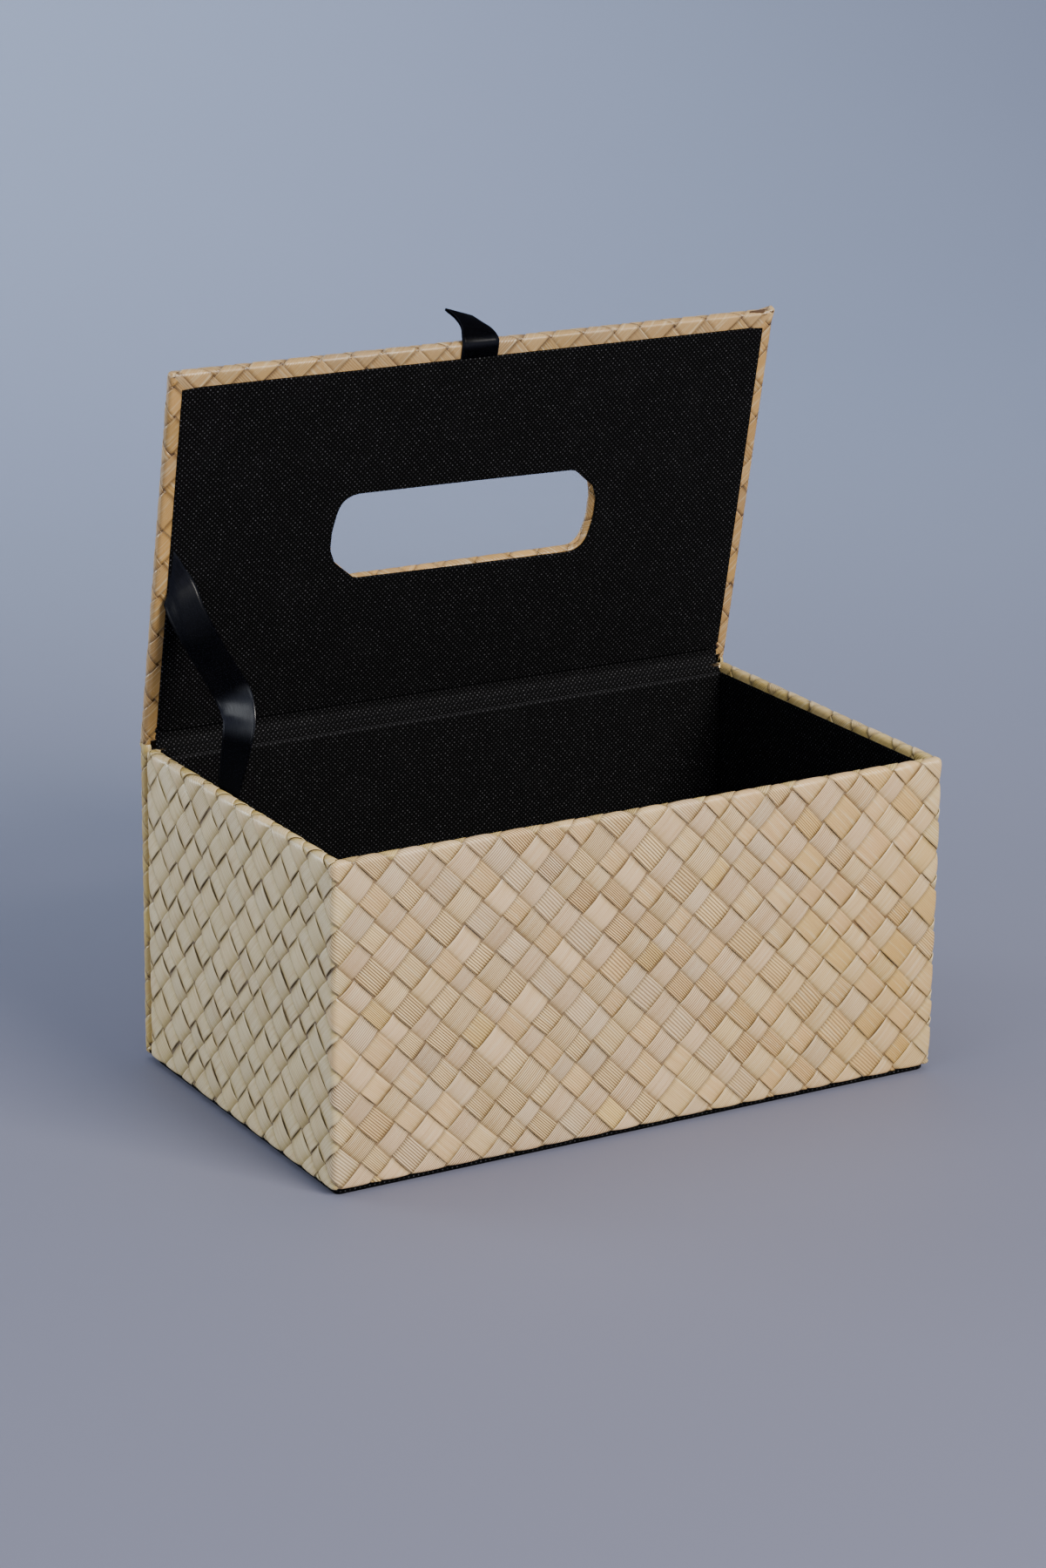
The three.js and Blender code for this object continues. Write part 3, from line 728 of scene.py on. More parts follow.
class RoundedPath:
    """Straight runs between corners, each inner corner rounded, measured along its length."""

    def __init__(
        self, corners: Iterable[tuple[float, float]], radii: Iterable[float], steps: int = 10
    ) -> None:
        """Lays out the path: each bend is the arc of its radius that touches both runs.

        Args:
            corners: The corner points, first and last ones included.
            radii: The radius at each inner corner.
            steps: Points along each bend.
        """
        corner = np.array(list(corners), float)
        heading = unit(np.diff(corner, axis=0))
        left = np.stack([-heading[:, 1], heading[:, 0]], axis=1)
        points, normals, marks = [corner[:1]], [left[:1]], []
        for k, radius in enumerate(radii):
            cross = heading[k, 0] * heading[k + 1, 1] - heading[k, 1] * heading[k + 1, 0]
            turn = math.atan2(cross, float(heading[k] @ heading[k + 1]))
            side = math.copysign(1.0, turn)
            enter = corner[k + 1] - heading[k] * radius * math.tan(abs(turn) / 2)
            angle = np.linspace(0, turn, steps + 1)
            spun = np.outer(np.cos(angle), left[k]) - np.outer(np.sin(angle), heading[k])
            points.append(enter + side * radius * (left[k] - spun))
            normals.append(spun)
            marks.append(sum(len(part) for part in points) - 1)
        self.points = np.concatenate([*points, corner[-1:]])
        self.normals = np.concatenate([*normals, left[-1:]])
        self.places = lengths(self.points)
        self.length = float(self.places[-1])
        self.folds = [Fold(float(self.places[m - steps]), float(self.places[m])) for m in marks]

    def at(self, place: Array) -> tuple[Array, Array]:
        """Points at distances along the path, and unit normals to the left of its heading."""
        point = on_line(place, self.places, self.points)
        return point, unit(on_line(place, self.places, self.normals))


class RibStyle(Enum):
    """How a leaf strip is ribbed: count of ribs across it, and how deep they are."""

    SMOOTH = (16.0, 0.42)
    COARSE = (10.5, 1.0)
    FINE = (14.0, 0.85)


class LeafTone(Enum):
    """Colours of dry leaf."""

    STRAW = linear(222, 193, 142)
    ROSE = linear(218, 187, 148)
    GREY = linear(205, 183, 152)
    TAN = linear(217, 180, 127)
    YELLOW = linear(221, 187, 112)
    OLIVE = linear(196, 186, 144)
    GOLD = linear(176, 132, 64)
    SAND = linear(170, 135, 84)
    MOSS = linear(194, 170, 88)

    @property
    def opaque(self) -> Array:
        """The colour with full cover as its fourth value."""
        return np.array([*self.value, 1.0])


def plain_leaf(shape: tuple[int, ...], tone: Array, dark: float, run: Array) -> dict[str, Array]:
    """Leaf values of a surface without ribs.

    Args:
        shape: The size of the surface's arrays.
        tone: Its colours.
        dark: How much painted shade and dirt of a gap it carries.
        run: Places along and across the leaf.

    Returns:
        The values by name.
    """
    return {
        "leaf_tone": tone,
        "leaf_rib": np.zeros(shape),
        "leaf_depth": np.zeros(shape),
        "leaf_across": np.full(shape, 0.5),
        "leaf_shade_and_dirt": np.full(shape, dark),
        "leaf_run": run,
    }


class Draw(IntEnum):
    """Random quantities of a strip, each with its own series."""

    FALLING_EDGE = 10
    RISING_EDGE = 20
    OFFSET = 40
    STYLE = 50
    COARSE = 51
    RIBS = 52
    DEPTH = 53
    TONE = 54


@dataclass
class Look:
    """How floats look, one row for each.

    Tone is a colour, ribs and depth are the ribs' count and depth, slack is the share by which a float may
    be too narrow, bulge is how strongly it arches, edging is how yellow its ends are and crest is how much
    painted sheen lightens its middle and darkens its ends.
    """

    tone: Array
    ribs: Array
    depth: Array
    slack: Array
    bulge: Array
    edging: Array
    crest: Array


@dataclass(frozen=True)
class Weave:
    """Plain bias weave of leaf strips, made flat.

    Strips run both ways at 45 degrees. In each cell one strip is on top: its float spans the cell, arches
    along its run and tucks its two ends under the neighbours.
    """

    seed: int = 7
    strip: float = 9.6 * MM
    spread: float = 0.17
    sway: float = 0.42 * MM
    pace: float = 0.35
    pace_spread: float = 0.3
    gap: float = 0.022
    tuck: float = 0.15
    nudge: float = 0.035
    lean: float = 0.05
    lift: float = 0.10 * MM
    crown: float = 0.40 * MM
    crown_least: float = 0.8
    crown_spread: float = 0.4
    arch_power: float = 2.6
    tilt: float = 0.16 * MM
    thickness: float = 0.30 * MM
    edge_drop: float = 0.07 * MM
    edge_power: int = 6
    underside: float = -0.15 * MM
    bed_level: float = -0.02 * MM
    # Painted shade on the beds under the floats.
    bed_dark: float = 0.8
    painted_light_from: float = 0.6
    edged: Band = Band(0.5, 1.0)
    ends: Band = Band(0.93, 1.16, 0.9)
    skirt_dark: float = 0.55
    dark: float = 1.14
    dark_less: float = 0.56
    runs: int = 11
    lanes: int = 7
    offset_span: float = 3.0
    seed_step: int = 1000
    table: int = 4096
    rising_first: int = 5000

    def lattice(self, region: Region) -> tuple[Array, Array]:
        """Cells whose middles lie in a region, with a margin of one strip.

        Args:
            region: Lowest and highest s, then lowest and highest t.

        Returns:
            The cells' two lattice numbers.
        """
        corners = [(s, t) for s in region[:2] for t in region[2:]]
        reach = max(max(abs(s + t), abs(t - s)) for s, t in corners)
        half = int(reach / (math.sqrt(2) * self.strip)) + 3
        i, j = np.meshgrid(np.arange(-half, half), np.arange(-half, half), indexing="ij")
        s, t = self.flat((i + 0.5) * self.strip, (j + 0.5) * self.strip)
        near = (s > region[0] - self.strip) & (s < region[1] + self.strip)
        near &= (t > region[2] - self.strip) & (t < region[3] + self.strip)
        return i[near], j[near]

    @staticmethod
    def flat(a: Array, b: Array) -> tuple[Array, Array]:
        """Lattice distances as sheet places: the axes turned by 45 degrees."""
        return (a - b) / math.sqrt(2), (a + b) / math.sqrt(2)

    def strip_values(self, number: Array, series: int) -> Array:
        """Random numbers from 0 to 1 that belong to strips, the same wherever a strip is used."""
        drawn = np.random.default_rng(self.seed * self.seed_step + int(series)).random(self.table)
        return drawn[np.asarray(number) % self.table]

    def line(self, number: Array, other: Array, series: int) -> Array:
        """Where the edge between two strips lies: even pitch, each edge moved a little and swaying.

        Args:
            number: The edge's number.
            other: How far along the edge, in strips.
            series: Tells the two families of strips apart.

        Returns:
            Distances across the strips.
        """
        moved = (self.strip_values(number, series) - 0.5) * 2 * self.spread
        phase = self.strip_values(number, series + 1) * math.tau
        pace = self.pace + self.pace_spread * self.strip_values(number, series + 2)
        return self.strip * (number + moved) + self.sway * np.sin(other * pace + phase)

    def floats(self, region: Region, style: Callable[[Array, Array, Array, Array], Look]) -> Surface:
        """All floats of a region, with a bed under each, on the flat sheet.

        The float's place is the cell's four corners blended in two directions: p runs along the strip from
        just before the cell to just after it, q runs across it. Its height is the lift plus the crown times
        one less a power of the distance from the middle, and its two edges drop by the thickness.

        Args:
            region: Lowest and highest s, then lowest and highest t.
            style: Gives the looks for strip numbers, families and places.

        Returns:
            The sheet: s, t and height.
        """
        i, j = self.lattice(region)
        falling = (i + j) % 2 == 0
        corners = ((0, 0), (1, 0), (0, 1), (1, 1))
        a = np.stack([self.line(i + x, j + y, Draw.FALLING_EDGE) for x, y in corners], axis=-1)
        b = np.stack([self.line(j + y, i + x, Draw.RISING_EDGE) for x, y in corners], axis=-1)
        p = 0.5 + (0.5 + self.tuck) * eased(self.runs)
        inner = 0.5 + (0.5 - self.gap) * eased(self.lanes)
        q = np.concatenate([inner[:1], inner, inner[-1:]])
        skirt = np.zeros(len(q))
        skirt[[0, -1]] = 1.0
        along, across = np.meshgrid(p, q, indexing="ij")
        number = np.where(falling, i, self.rising_first + j)
        look = style(number, falling, *self.flat(a.mean(axis=-1), b.mean(axis=-1)))
        loose = np.random.default_rng(self.seed).random((6, len(i)))
        nudged, leaned, risen, tipped, slimmed, _ = loose[..., None, None]
        slack, bulge, edging = (part[:, None, None] for part in (look.slack, look.bulge, look.edging))
        slim = 1 - slack * slimmed**2
        lean = (leaned - 0.5) * self.lean
        lane = 0.5 + (across - 0.5) * slim + (nudged - 0.5) * self.nudge + lean * (along - 0.5)
        on_falling = falling[:, None, None]
        x = np.where(on_falling, lane, along)
        y = np.where(on_falling, along, lane)
        weights = ((1 - x) * (1 - y), x * (1 - y), (1 - x) * y, x * y)
        placed = [sum(w * edge[:, k, None, None] for k, w in enumerate(weights)) for edge in (a, b)]
        s, t = self.flat(*placed)
        shape = s.shape
        from_middle = np.abs(2 * along - 1)
        arch = 1 - from_middle**self.arch_power
        crown = self.crown * (bulge * (self.crown_least + self.crown_spread * risen))
        tilt = (tipped - 0.5) * self.tilt * (2 * across - 1)
        drop = self.edge_drop * np.abs(2 * across - 1) ** self.edge_power
        height = self.lift + crown * arch + tilt - drop
        height = np.maximum(height - self.thickness * skirt, self.underside)
        # Painted sheen: each float's arched middle lighter and its ends darker, by its crest share.
        painted_light = 1 + look.crest[:, None, None, None] * (arch - self.painted_light_from)[..., None]
        yellow = (edging * self.edged.of(from_middle))[..., None]
        tone = look.tone[:, None, None, :] * painted_light * (1 - yellow) + LeafTone.MOSS.opaque * yellow
        # Painted shade with some dirt: float ends that tuck under their neighbours and the dropped edges get
        # darker; yellow ends get less.
        dark = (self.ends.of(from_middle) + self.skirt_dark * skirt) * (self.dark - self.dark_less * edging)
        offset = self.strip_values(number, Draw.OFFSET)[:, None, None] * self.offset_span
        length = (along + np.where(falling, j, i)[:, None, None]) * self.strip + offset
        values = {
            "leaf_tone": tone,
            "leaf_rib": across * look.ribs[:, None, None],
            "leaf_depth": np.broadcast_to(look.depth[:, None, None], shape),
            "leaf_across": np.broadcast_to(across, shape),
            "leaf_shade_and_dirt": np.clip(dark, 0, 1),
            "leaf_run": np.stack([length, across * self.strip + offset, np.zeros(shape)], axis=-1),
        }
        points = np.stack([s, t, height], axis=-1)
        return Surface.joined([self._grids(points, values, falling), self._beds(a, b, look.tone)])

    @staticmethod
    def _grids(points: Array, values: dict[str, Array], falling: Array) -> Surface:
        """Grids of many floats as one surface, all facing up.

        Args:
            points: Floats by runs by lanes by 3.
            values: Their values, in the same order.
            falling: Which floats lie along the falling strips, whose grids are turned the other way.

        Returns:
            The surface.
        """
        count, rows, columns = points.shape[:3]
        index = np.arange(count * rows * columns).reshape(count, rows, columns)
        quads = [index[:, :-1, :-1], index[:, 1:, :-1], index[:, 1:, 1:], index[:, :-1, 1:]]
        rising = np.stack(quads, axis=-1)
        faces = np.where(falling[:, None, None, None], rising[..., ::-1], rising).reshape(-1, 4)
        flat = {name: value.reshape(count * rows * columns, -1) for name, value in values.items()}
        return Surface(points.reshape(-1, 3), faces, flat)

    def _beds(self, a: Array, b: Array, tone: Array) -> Surface:
        """One flat quad under each float, dark with painted shade, so that no hole is left between strips.

        Args:
            a, b: The cells' corners on the lattice.
            tone: The floats' tones.

        Returns:
            The beds.
        """
        around = [0, 1, 3, 2]
        s, t = self.flat(a[:, around], b[:, around])
        points = np.stack([s, t, np.full(s.shape, self.bed_level)], axis=-1).reshape(-1, 3)
        faces = np.arange(len(points)).reshape(-1, 4)
        tones = np.repeat(tone, 4, axis=0)
        return Surface(points, faces, plain_leaf((len(points), 1), tones, self.bed_dark, points.copy()))


@dataclass(frozen=True)
class StripLooks:
    """How the looks of one mat's strips are drawn: tones and their shares for both families of strips."""

    weave: Weave
    falling_tones: Tones
    rising_tones: Tones
    series: int = 0
    coarse: tuple[float, float] = (0.86, 0.06)
    ribs_least: float = 0.88
    ribs_spread: float = 0.24
    depth_least: float = 0.65
    depth_spread: float = 0.5
    light_least: float = 0.9
    light_spread: float = 0.24
    own_chance: float = 0.25
    own_seed: int = 90
    even_share: float = 0.3
    smooth_own: float = 0.65
    smooth_warm: float = 0.3
    slack: float = 0.1
    edging: float = 0.25
    crest: float = 0.1

    def mixed(self, tones: Tones, choice: Array) -> Array:
        """Tones picked by their shares, each pulled towards the mean of all.

        Args:
            tones: The tones and their shares.
            choice: A number from 0 to 1 for each float.

        Returns:
            A colour for each float.
        """
        palette = np.array([tone.value for tone, _ in tones])
        share = np.array([part for _, part in tones])
        edges = np.cumsum(share)
        chosen = np.minimum(np.searchsorted(edges / edges[-1], choice), len(tones) - 1)
        even = (palette * share[:, None]).sum(axis=0) / edges[-1]
        return self.even_share * even + (1 - self.even_share) * palette[chosen]

    def draw(self, number: Array, falling: Array, smoothness: Array, ribbing: Array) -> Look:
        """Draws the looks of floats.

        Args:
            number: Strip numbers.
            falling: Which floats lie on falling strips, which are mostly coarse.
            smoothness: For each float, the chance that its strip is smooth.
            ribbing: For each float, how strongly its ribs show.

        Returns:
            The looks.
        """
        style, coarse, rib, deep, pick = (
            self.weave.strip_values(number, series + self.series)
            for series in (Draw.STYLE, Draw.COARSE, Draw.RIBS, Draw.DEPTH, Draw.TONE)
        )
        is_smooth = style < smoothness
        kind = np.where(is_smooth, 0, np.where(coarse < np.where(falling, *self.coarse), 1, 2))
        order = (RibStyle.SMOOTH, RibStyle.COARSE, RibStyle.FINE)
        ribs, depth = np.array([rib_style.value for rib_style in order])[kind].T
        seed = self.weave.seed + self.own_seed + self.series
        own = np.random.default_rng(seed).random((3, len(number)))
        choice = np.where(own[0] < self.own_chance, own[1], pick)
        falls, rises = (self.mixed(tones, choice) for tones in (self.falling_tones, self.rising_tones))
        light = self.light_least + self.light_spread * own[2]
        tone = np.where(falling[:, None], falls, rises) * light[:, None]
        warm = (np.array(LeafTone.TAN.value) + np.array(LeafTone.ROSE.value)) / 2
        faded = self.smooth_own * tone + self.smooth_warm * warm
        even = np.ones(len(number))
        return Look(
            tone=np.column_stack([np.where(is_smooth[:, None], faded, tone), even]),
            ribs=ribs * (self.ribs_least + self.ribs_spread * rib),
            depth=depth * (self.depth_least + self.depth_spread * deep) * ribbing,
            slack=self.slack * even,
            bulge=even,
            edging=self.edging * even,
            crest=self.crest * even,
        )


@dataclass(frozen=True)
class Score:
    """One straight cut across a flat sheet: a point of it and its direction of normal."""

    point: tuple[float, float]
    normal: tuple[float, float]

    @staticmethod
    def at_s(place: float) -> Score:
        """A score at one s."""
        return Score((place, 0.0), (1.0, 0.0))

    @staticmethod
    def at_t(place: float) -> Score:
        """A score at one t."""
        return Score((0.0, place), (0.0, 1.0))


def scored(sheet: Surface, scores: Iterable[Score]) -> Surface:
    """A flat sheet cut along scores and made into triangles.

    Args:
        sheet: The flat sheet.
        scores: The lines.

    Returns:
        The same sheet with edges along every score.
    """
    mesh = sheet.to_mesh("flat_sheet")
    work = bmesh.new()
    work.from_mesh(mesh)
    for score in scores:
        bmesh.ops.bisect_plane(
            work,
            geom=[*work.verts, *work.edges, *work.faces],
            dist=CUT_REACH,
            plane_co=(*score.point, 0.0),
            plane_no=(*score.normal, 0.0),
        )
    bmesh.ops.triangulate(work, faces=work.faces[:])
    work.to_mesh(mesh)
    work.free()
    made = Surface.from_mesh(mesh, sheet.values)
    bpy.data.meshes.remove(mesh)
    return made


@dataclass(frozen=True)
class Drift:
    """A quantity that changes round the tray: at the front's left, and what the right and the side add."""

    base: float
    right: float = 0.0
    side: float = 0.0

    def at(self, right: Array, side: Array) -> Array:
        """The quantity at shares of the front's right and of the left side."""
        return self.base + self.right * right + self.side * side


@dataclass
class TrayWeave:
    """The tray's mat: round the walls, over the rim and under the floor."""

    weave: Weave = field(default_factory=Weave)
    corner: float = 1.7 * MM
    rim: float = 1.6 * MM
    rim_drop: float = 0.2 * MM
    foot: float = 0.9 * MM
    relief: float = 0.6 * MM
    wall: float = 3.8 * MM
    flap: float = 8.0 * MM
    foot_flap: float = 2.4 * MM
    back_return: float = 13.0 * MM
    notch_gap: float = 0.3 * MM
    rim_lead: float = 1.0 * MM
    rim_press: float = 0.5
    foot_press: float = 0.9
    back_press: Band = Band(-0.5 * MM, 1.5 * MM, 0.9)
    bend_scores: int = 5
    turn: float = 2.0 * MM
    right_from: float = -20 * MM
    low: Band = Band(20 * MM, 100 * MM)
    falling_tones: Tones = (
        (LeafTone.STRAW, 0.4),
        (LeafTone.TAN, 0.25),
        (LeafTone.YELLOW, 0.15),
        (LeafTone.GREY, 0.2),
    )
    rising_tones: Tones = ((LeafTone.GREY, 0.35), (LeafTone.ROSE, 0.35), (LeafTone.STRAW, 0.3))
    smoothness: Drift = Drift(0.15, 0.45, 0.4)
    ribbing: Drift = Drift(1.0, -0.35, -0.55)
    slack: Drift = Drift(0.12, 0.0, 0.08)
    bulge: Drift = Drift(1.15, 0.2, 0.25)
    edging: Drift = Drift(0.25, 0.0, 0.35)
    crest: Drift = Drift(0.1, 0.0, 0.2)
    gold_seed: int = 61
    gold_least: tuple[float, float] = (0.2, 0.08)
    gold_falling: Band = Band(0.5, 0.95, 0.75)
    gold_rising: Band = Band(0.85, 1.0, 0.6)
    gold_low: float = 0.25
    gold_light: float = 0.85
    sun: Rgba = (0.04, 0.11, 0.15, 0.0)
    low_sun: Rgba = (0.05, 0.06, 0.1, 0.0)
    sun_share: tuple[float, float] = (1.3, 0.55)
    painted_left_light: Rgba = (0.07, 0.06, 0.05, 0.0)
    olive_painted_lift: float = 1.12
    olive_share: float = 0.6
    rim_tan: Band = Band(112 * MM, 120 * MM, 0.45)
    rim_moss: Band = Band(119 * MM, 123 * MM, 0.7)

    def __post_init__(self) -> None:
        """Reads the mat's faces from the CAD solid and lays out its two paths and its looks."""
        low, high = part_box("tray_mat")
        left, right = low.x + self.relief, high.x - self.relief
        front, back = low.y + self.relief, high.y
        inner = right - self.back_return
        sides = [(left, back), (left, front), (right, front), (right, back)]
        self.plan = RoundedPath([(-inner, back), *sides, (inner, back)], [self.corner] * 4)
        top = high.z - self.rim_drop
        outside = [(self.foot_flap, low.z), (0, low.z), (0, top)]
        inside = [(self.wall, top), (self.wall, top - self.flap)]
        self.section = RoundedPath(outside + inside, [self.foot, self.rim, self.rim])
        self.half = self.plan.length / 2
        self.start = self.section.folds[0].end
        self.looks = StripLooks(self.weave, self.falling_tones, self.rising_tones)

    def place(self, flat: Array) -> Array:
        """Wraps points of the flat sheet: s along the plan, t along the section, height off the face.

        Args:
            flat: s, t and height.

        Returns:
            Places in the model's frame.
        """
        t = flat[:, 1] + self.start
        ground, inward = self.plan.at(flat[:, 0] + self.half)
        depth, off = self.section.at(t)
        bend = self.section.folds[1]
        over = smooth(t, bend.start - self.rim_lead, bend.end)
        under = 1 - smooth(t, 0.0, self.start)
        behind = self.back_press.of(np.abs(flat[:, 0]) - self.half + self.plan.folds[0].end)
        pressed = (1 - self.rim_press * over) * (1 - self.foot_press * under) * (1 - behind)
        height = flat[:, 2] * pressed
        inset = depth[:, 0] + height * off[:, 0]
        level = depth[:, 1] + height * off[:, 1]
        return np.column_stack([ground + inward * inset[:, None], level])

    def style(self, number: Array, falling: Array, s: Array, t: Array) -> Look:
        """Looks over the tray: ribbed at the left, smooth and yellow at the right, olive at the sides.

        Args:
            number: Strip numbers.
            falling: Which floats lie on falling strips.
            s, t: The floats' middles on the flat sheet.

        Returns:
            The looks.
        """
        bend = self.half - self.plan.folds[1].end
        side = smooth(-s, bend - self.turn, bend + self.turn)
        far_side = smooth(s, bend - self.turn, bend + self.turn)
        right = smooth(s, self.right_from, bend)
        look = self.looks.draw(number, falling, self.smoothness.at(right, side), self.ribbing.at(right, side))
        low = right * (1 - self.low.of(t))
        own = np.random.default_rng(self.weave.seed + self.gold_seed).random(len(number))
        golden = np.where(falling, *self.gold_least)
        golden = golden + np.where(falling, self.gold_falling.of(own), self.gold_rising.of(own))
        share = np.clip(golden * right + self.gold_low * low, 0, 1)
        tone = tinted(look.tone, self.gold_light * LeafTone.YELLOW.opaque, share)
        sunned = np.outer(right, self.sun) + np.outer(low, self.low_sun)
        sunned = sunned * np.where(falling, *self.sun_share)[:, None]
        # Painted light: the front's left, away from the sides, made a little lighter.
        painted_left_light = np.outer((1 - right) * (1 - side), self.painted_left_light)
        tone = tone * (1 - sunned) * (1 + painted_left_light)
        sides = self.olive_share * np.clip(side + far_side, 0, 1)
        # The sides' own olive tint, lifted lighter as painted light.
        tone = tinted(tone, self.olive_painted_lift * LeafTone.OLIVE.opaque, sides)
        tone = tinted(tone, LeafTone.TAN.opaque, self.rim_tan.of(t))
        look.tone = tinted(tone, LeafTone.MOSS.opaque, self.rim_moss.of(t))
        for name in ("slack", "bulge", "edging", "crest"):
            setattr(look, name, getattr(self, name).at(right, side))
        return look

    def scores(self) -> list[Score]:
        """Lines along which the sheet bends.

        Returns:
            The scores.
        """
        count = self.bend_scores
        lines = [Score.at_s(p - self.half) for bend in self.plan.folds for p in bend.scores(count)]
        return lines + [
            Score.at_t(p - self.start) for bend in self.section.folds for p in bend.scores(count)
        ]

    def keeps(self, centre: Array) -> Array:
        """Which faces stay: those between the flaps' ends and outside the notches at the rim's corners.

        Args:
            centre: Face centres on the flat sheet.

        Returns:
            A mask.
        """
        t = centre[:, 1] + self.start
        s = centre[:, 0] + self.half
        keep = (t > 0) & (t < self.section.length) & (s > 0) & (s < self.plan.length)
        depth = self.section.at(t)[0][:, 0]
        rim_start = self.section.folds[1].start
        for bend in self.plan.folds:
            middle = (bend.start + bend.end) / 2
            reach = (bend.end - bend.start) / 2 + np.maximum(depth - self.corner, 0)
            keep &= ~((t > rim_start) & (depth > self.corner) & (np.abs(s - middle) < reach))
        from_end = np.minimum(s, self.plan.length - s)
        notch = self.back_return - self.wall - self.notch_gap
        return keep & ~((t > rim_start - self.flap) & (from_end < notch))

    def build(self, material: Material) -> Piece:
        """The woven mat, in place of the CAD solid.

        Args:
            material: The leaf.

        Returns:
            The piece.
        """
        region = (-self.half, self.half, -self.start, self.section.length - self.start)
        sheet = scored(self.weave.floats(region, self.style), self.scores())
        sheet = sheet.kept(self.keeps(sheet.centres()))
        sheet.points = self.place(sheet.points)
        made = sheet.piece("tray_weave", material)
        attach(made, "box")
        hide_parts("tray_mat")
        return made


@dataclass(frozen=True)
class LidFrame:
    """The lid's own frame at rest: across, out from the hinge, and up from the shut lid's seat."""

    hinge: Point
    tilt: float

    @staticmethod
    def from_joint() -> LidFrame:
        """Reads the hinge and the rest angle from the lid's joint."""
        joint = next(j for j in frame["joints"] if j["name"] == "lid_hinge")
        return LidFrame(tuple(joint["pos_m"]), math.radians(-joint["range_deg"][0]))

    def flat(self, reach: Array, height: Array) -> Array:
        """Y and Z of points on the lid.

        Args:
            reach: Distances from the hinge.
            height: Heights over the shut lid's seat.

        Returns:
            Y and Z, as the last axis.
        """
        reach, height = np.broadcast_arrays(reach, height)
        sine, cosine = math.sin(self.tilt), math.cos(self.tilt)
        y = self.hinge[1] - reach * cosine + height * sine
        z = self.hinge[2] + reach * sine + height * cosine
        return np.stack([y, z], axis=-1)

    def place(self, across: Array, reach: Array, height: Array) -> Array:
        """Places in the model's frame of points on the lid.

        Args:
            across: Distances to the right of the middle.
            reach: Distances from the hinge.
            height: Heights over the shut lid's seat.

        Returns:
            The places.
        """
        side = self.flat(reach, height)
        wide = np.broadcast_to(np.asarray(across)[..., None], (*side.shape[:-1], 1))
        return np.concatenate([wide, side], axis=-1)

    def way(self, across: float, reach: float, height: float) -> Array:
        """A direction on the lid as one in the model's frame."""
        return self.place(across, reach, height) - self.place(0.0, 0.0, 0.0)


@dataclass(frozen=True)
class SlotShape:
    """The tissue slot, cut by hand: bulged ends, two opposite corners rounded and two cut straight."""

    length: float = 113 * MM
    width: float = 35 * MM
    end_flat: float = 20 * MM
    taper: float = 9 * MM
    bulge: float = 2 * MM
    centre: float = 73.75 * MM
    blunt: float = 0.35
    grow_share: float = 0.4
    round_steps: int = 7

    def corners(self, grow: float = 0.0) -> Array:
        """The outline's corners on the lid, turning left, as across and reach.

        The rounded corner is a square curve between its shoulder and the end's flat.

        Args:
            grow: How far the outline stands outside the slot.

        Returns:
            The corners.
        """
        end = self.length / 2 + grow
        side = self.width / 2 + grow
        shoulder = self.length / 2 - self.bulge - self.taper + self.grow_share * grow
        flat = self.end_flat / 2 + self.grow_share * grow
        start, stop = np.array([shoulder, -side]), np.array([end - self.bulge, -flat])
        control = np.array([end - self.bulge * side / flat, -side])
        u = np.linspace(0, 1, self.round_steps)[:, None]
        curve = (1 - u) ** 2 * start + 2 * u * (1 - u) * control + u**2 * stop
        nose = end - self.blunt * self.bulge
        blunt = [(nose, -self.blunt * flat), (nose, self.blunt * flat)]
        right = np.vstack([curve, blunt, [(end - self.bulge, flat), (shoulder, side)]])
        return np.vstack([right, -right]) + np.array([0.0, self.centre])


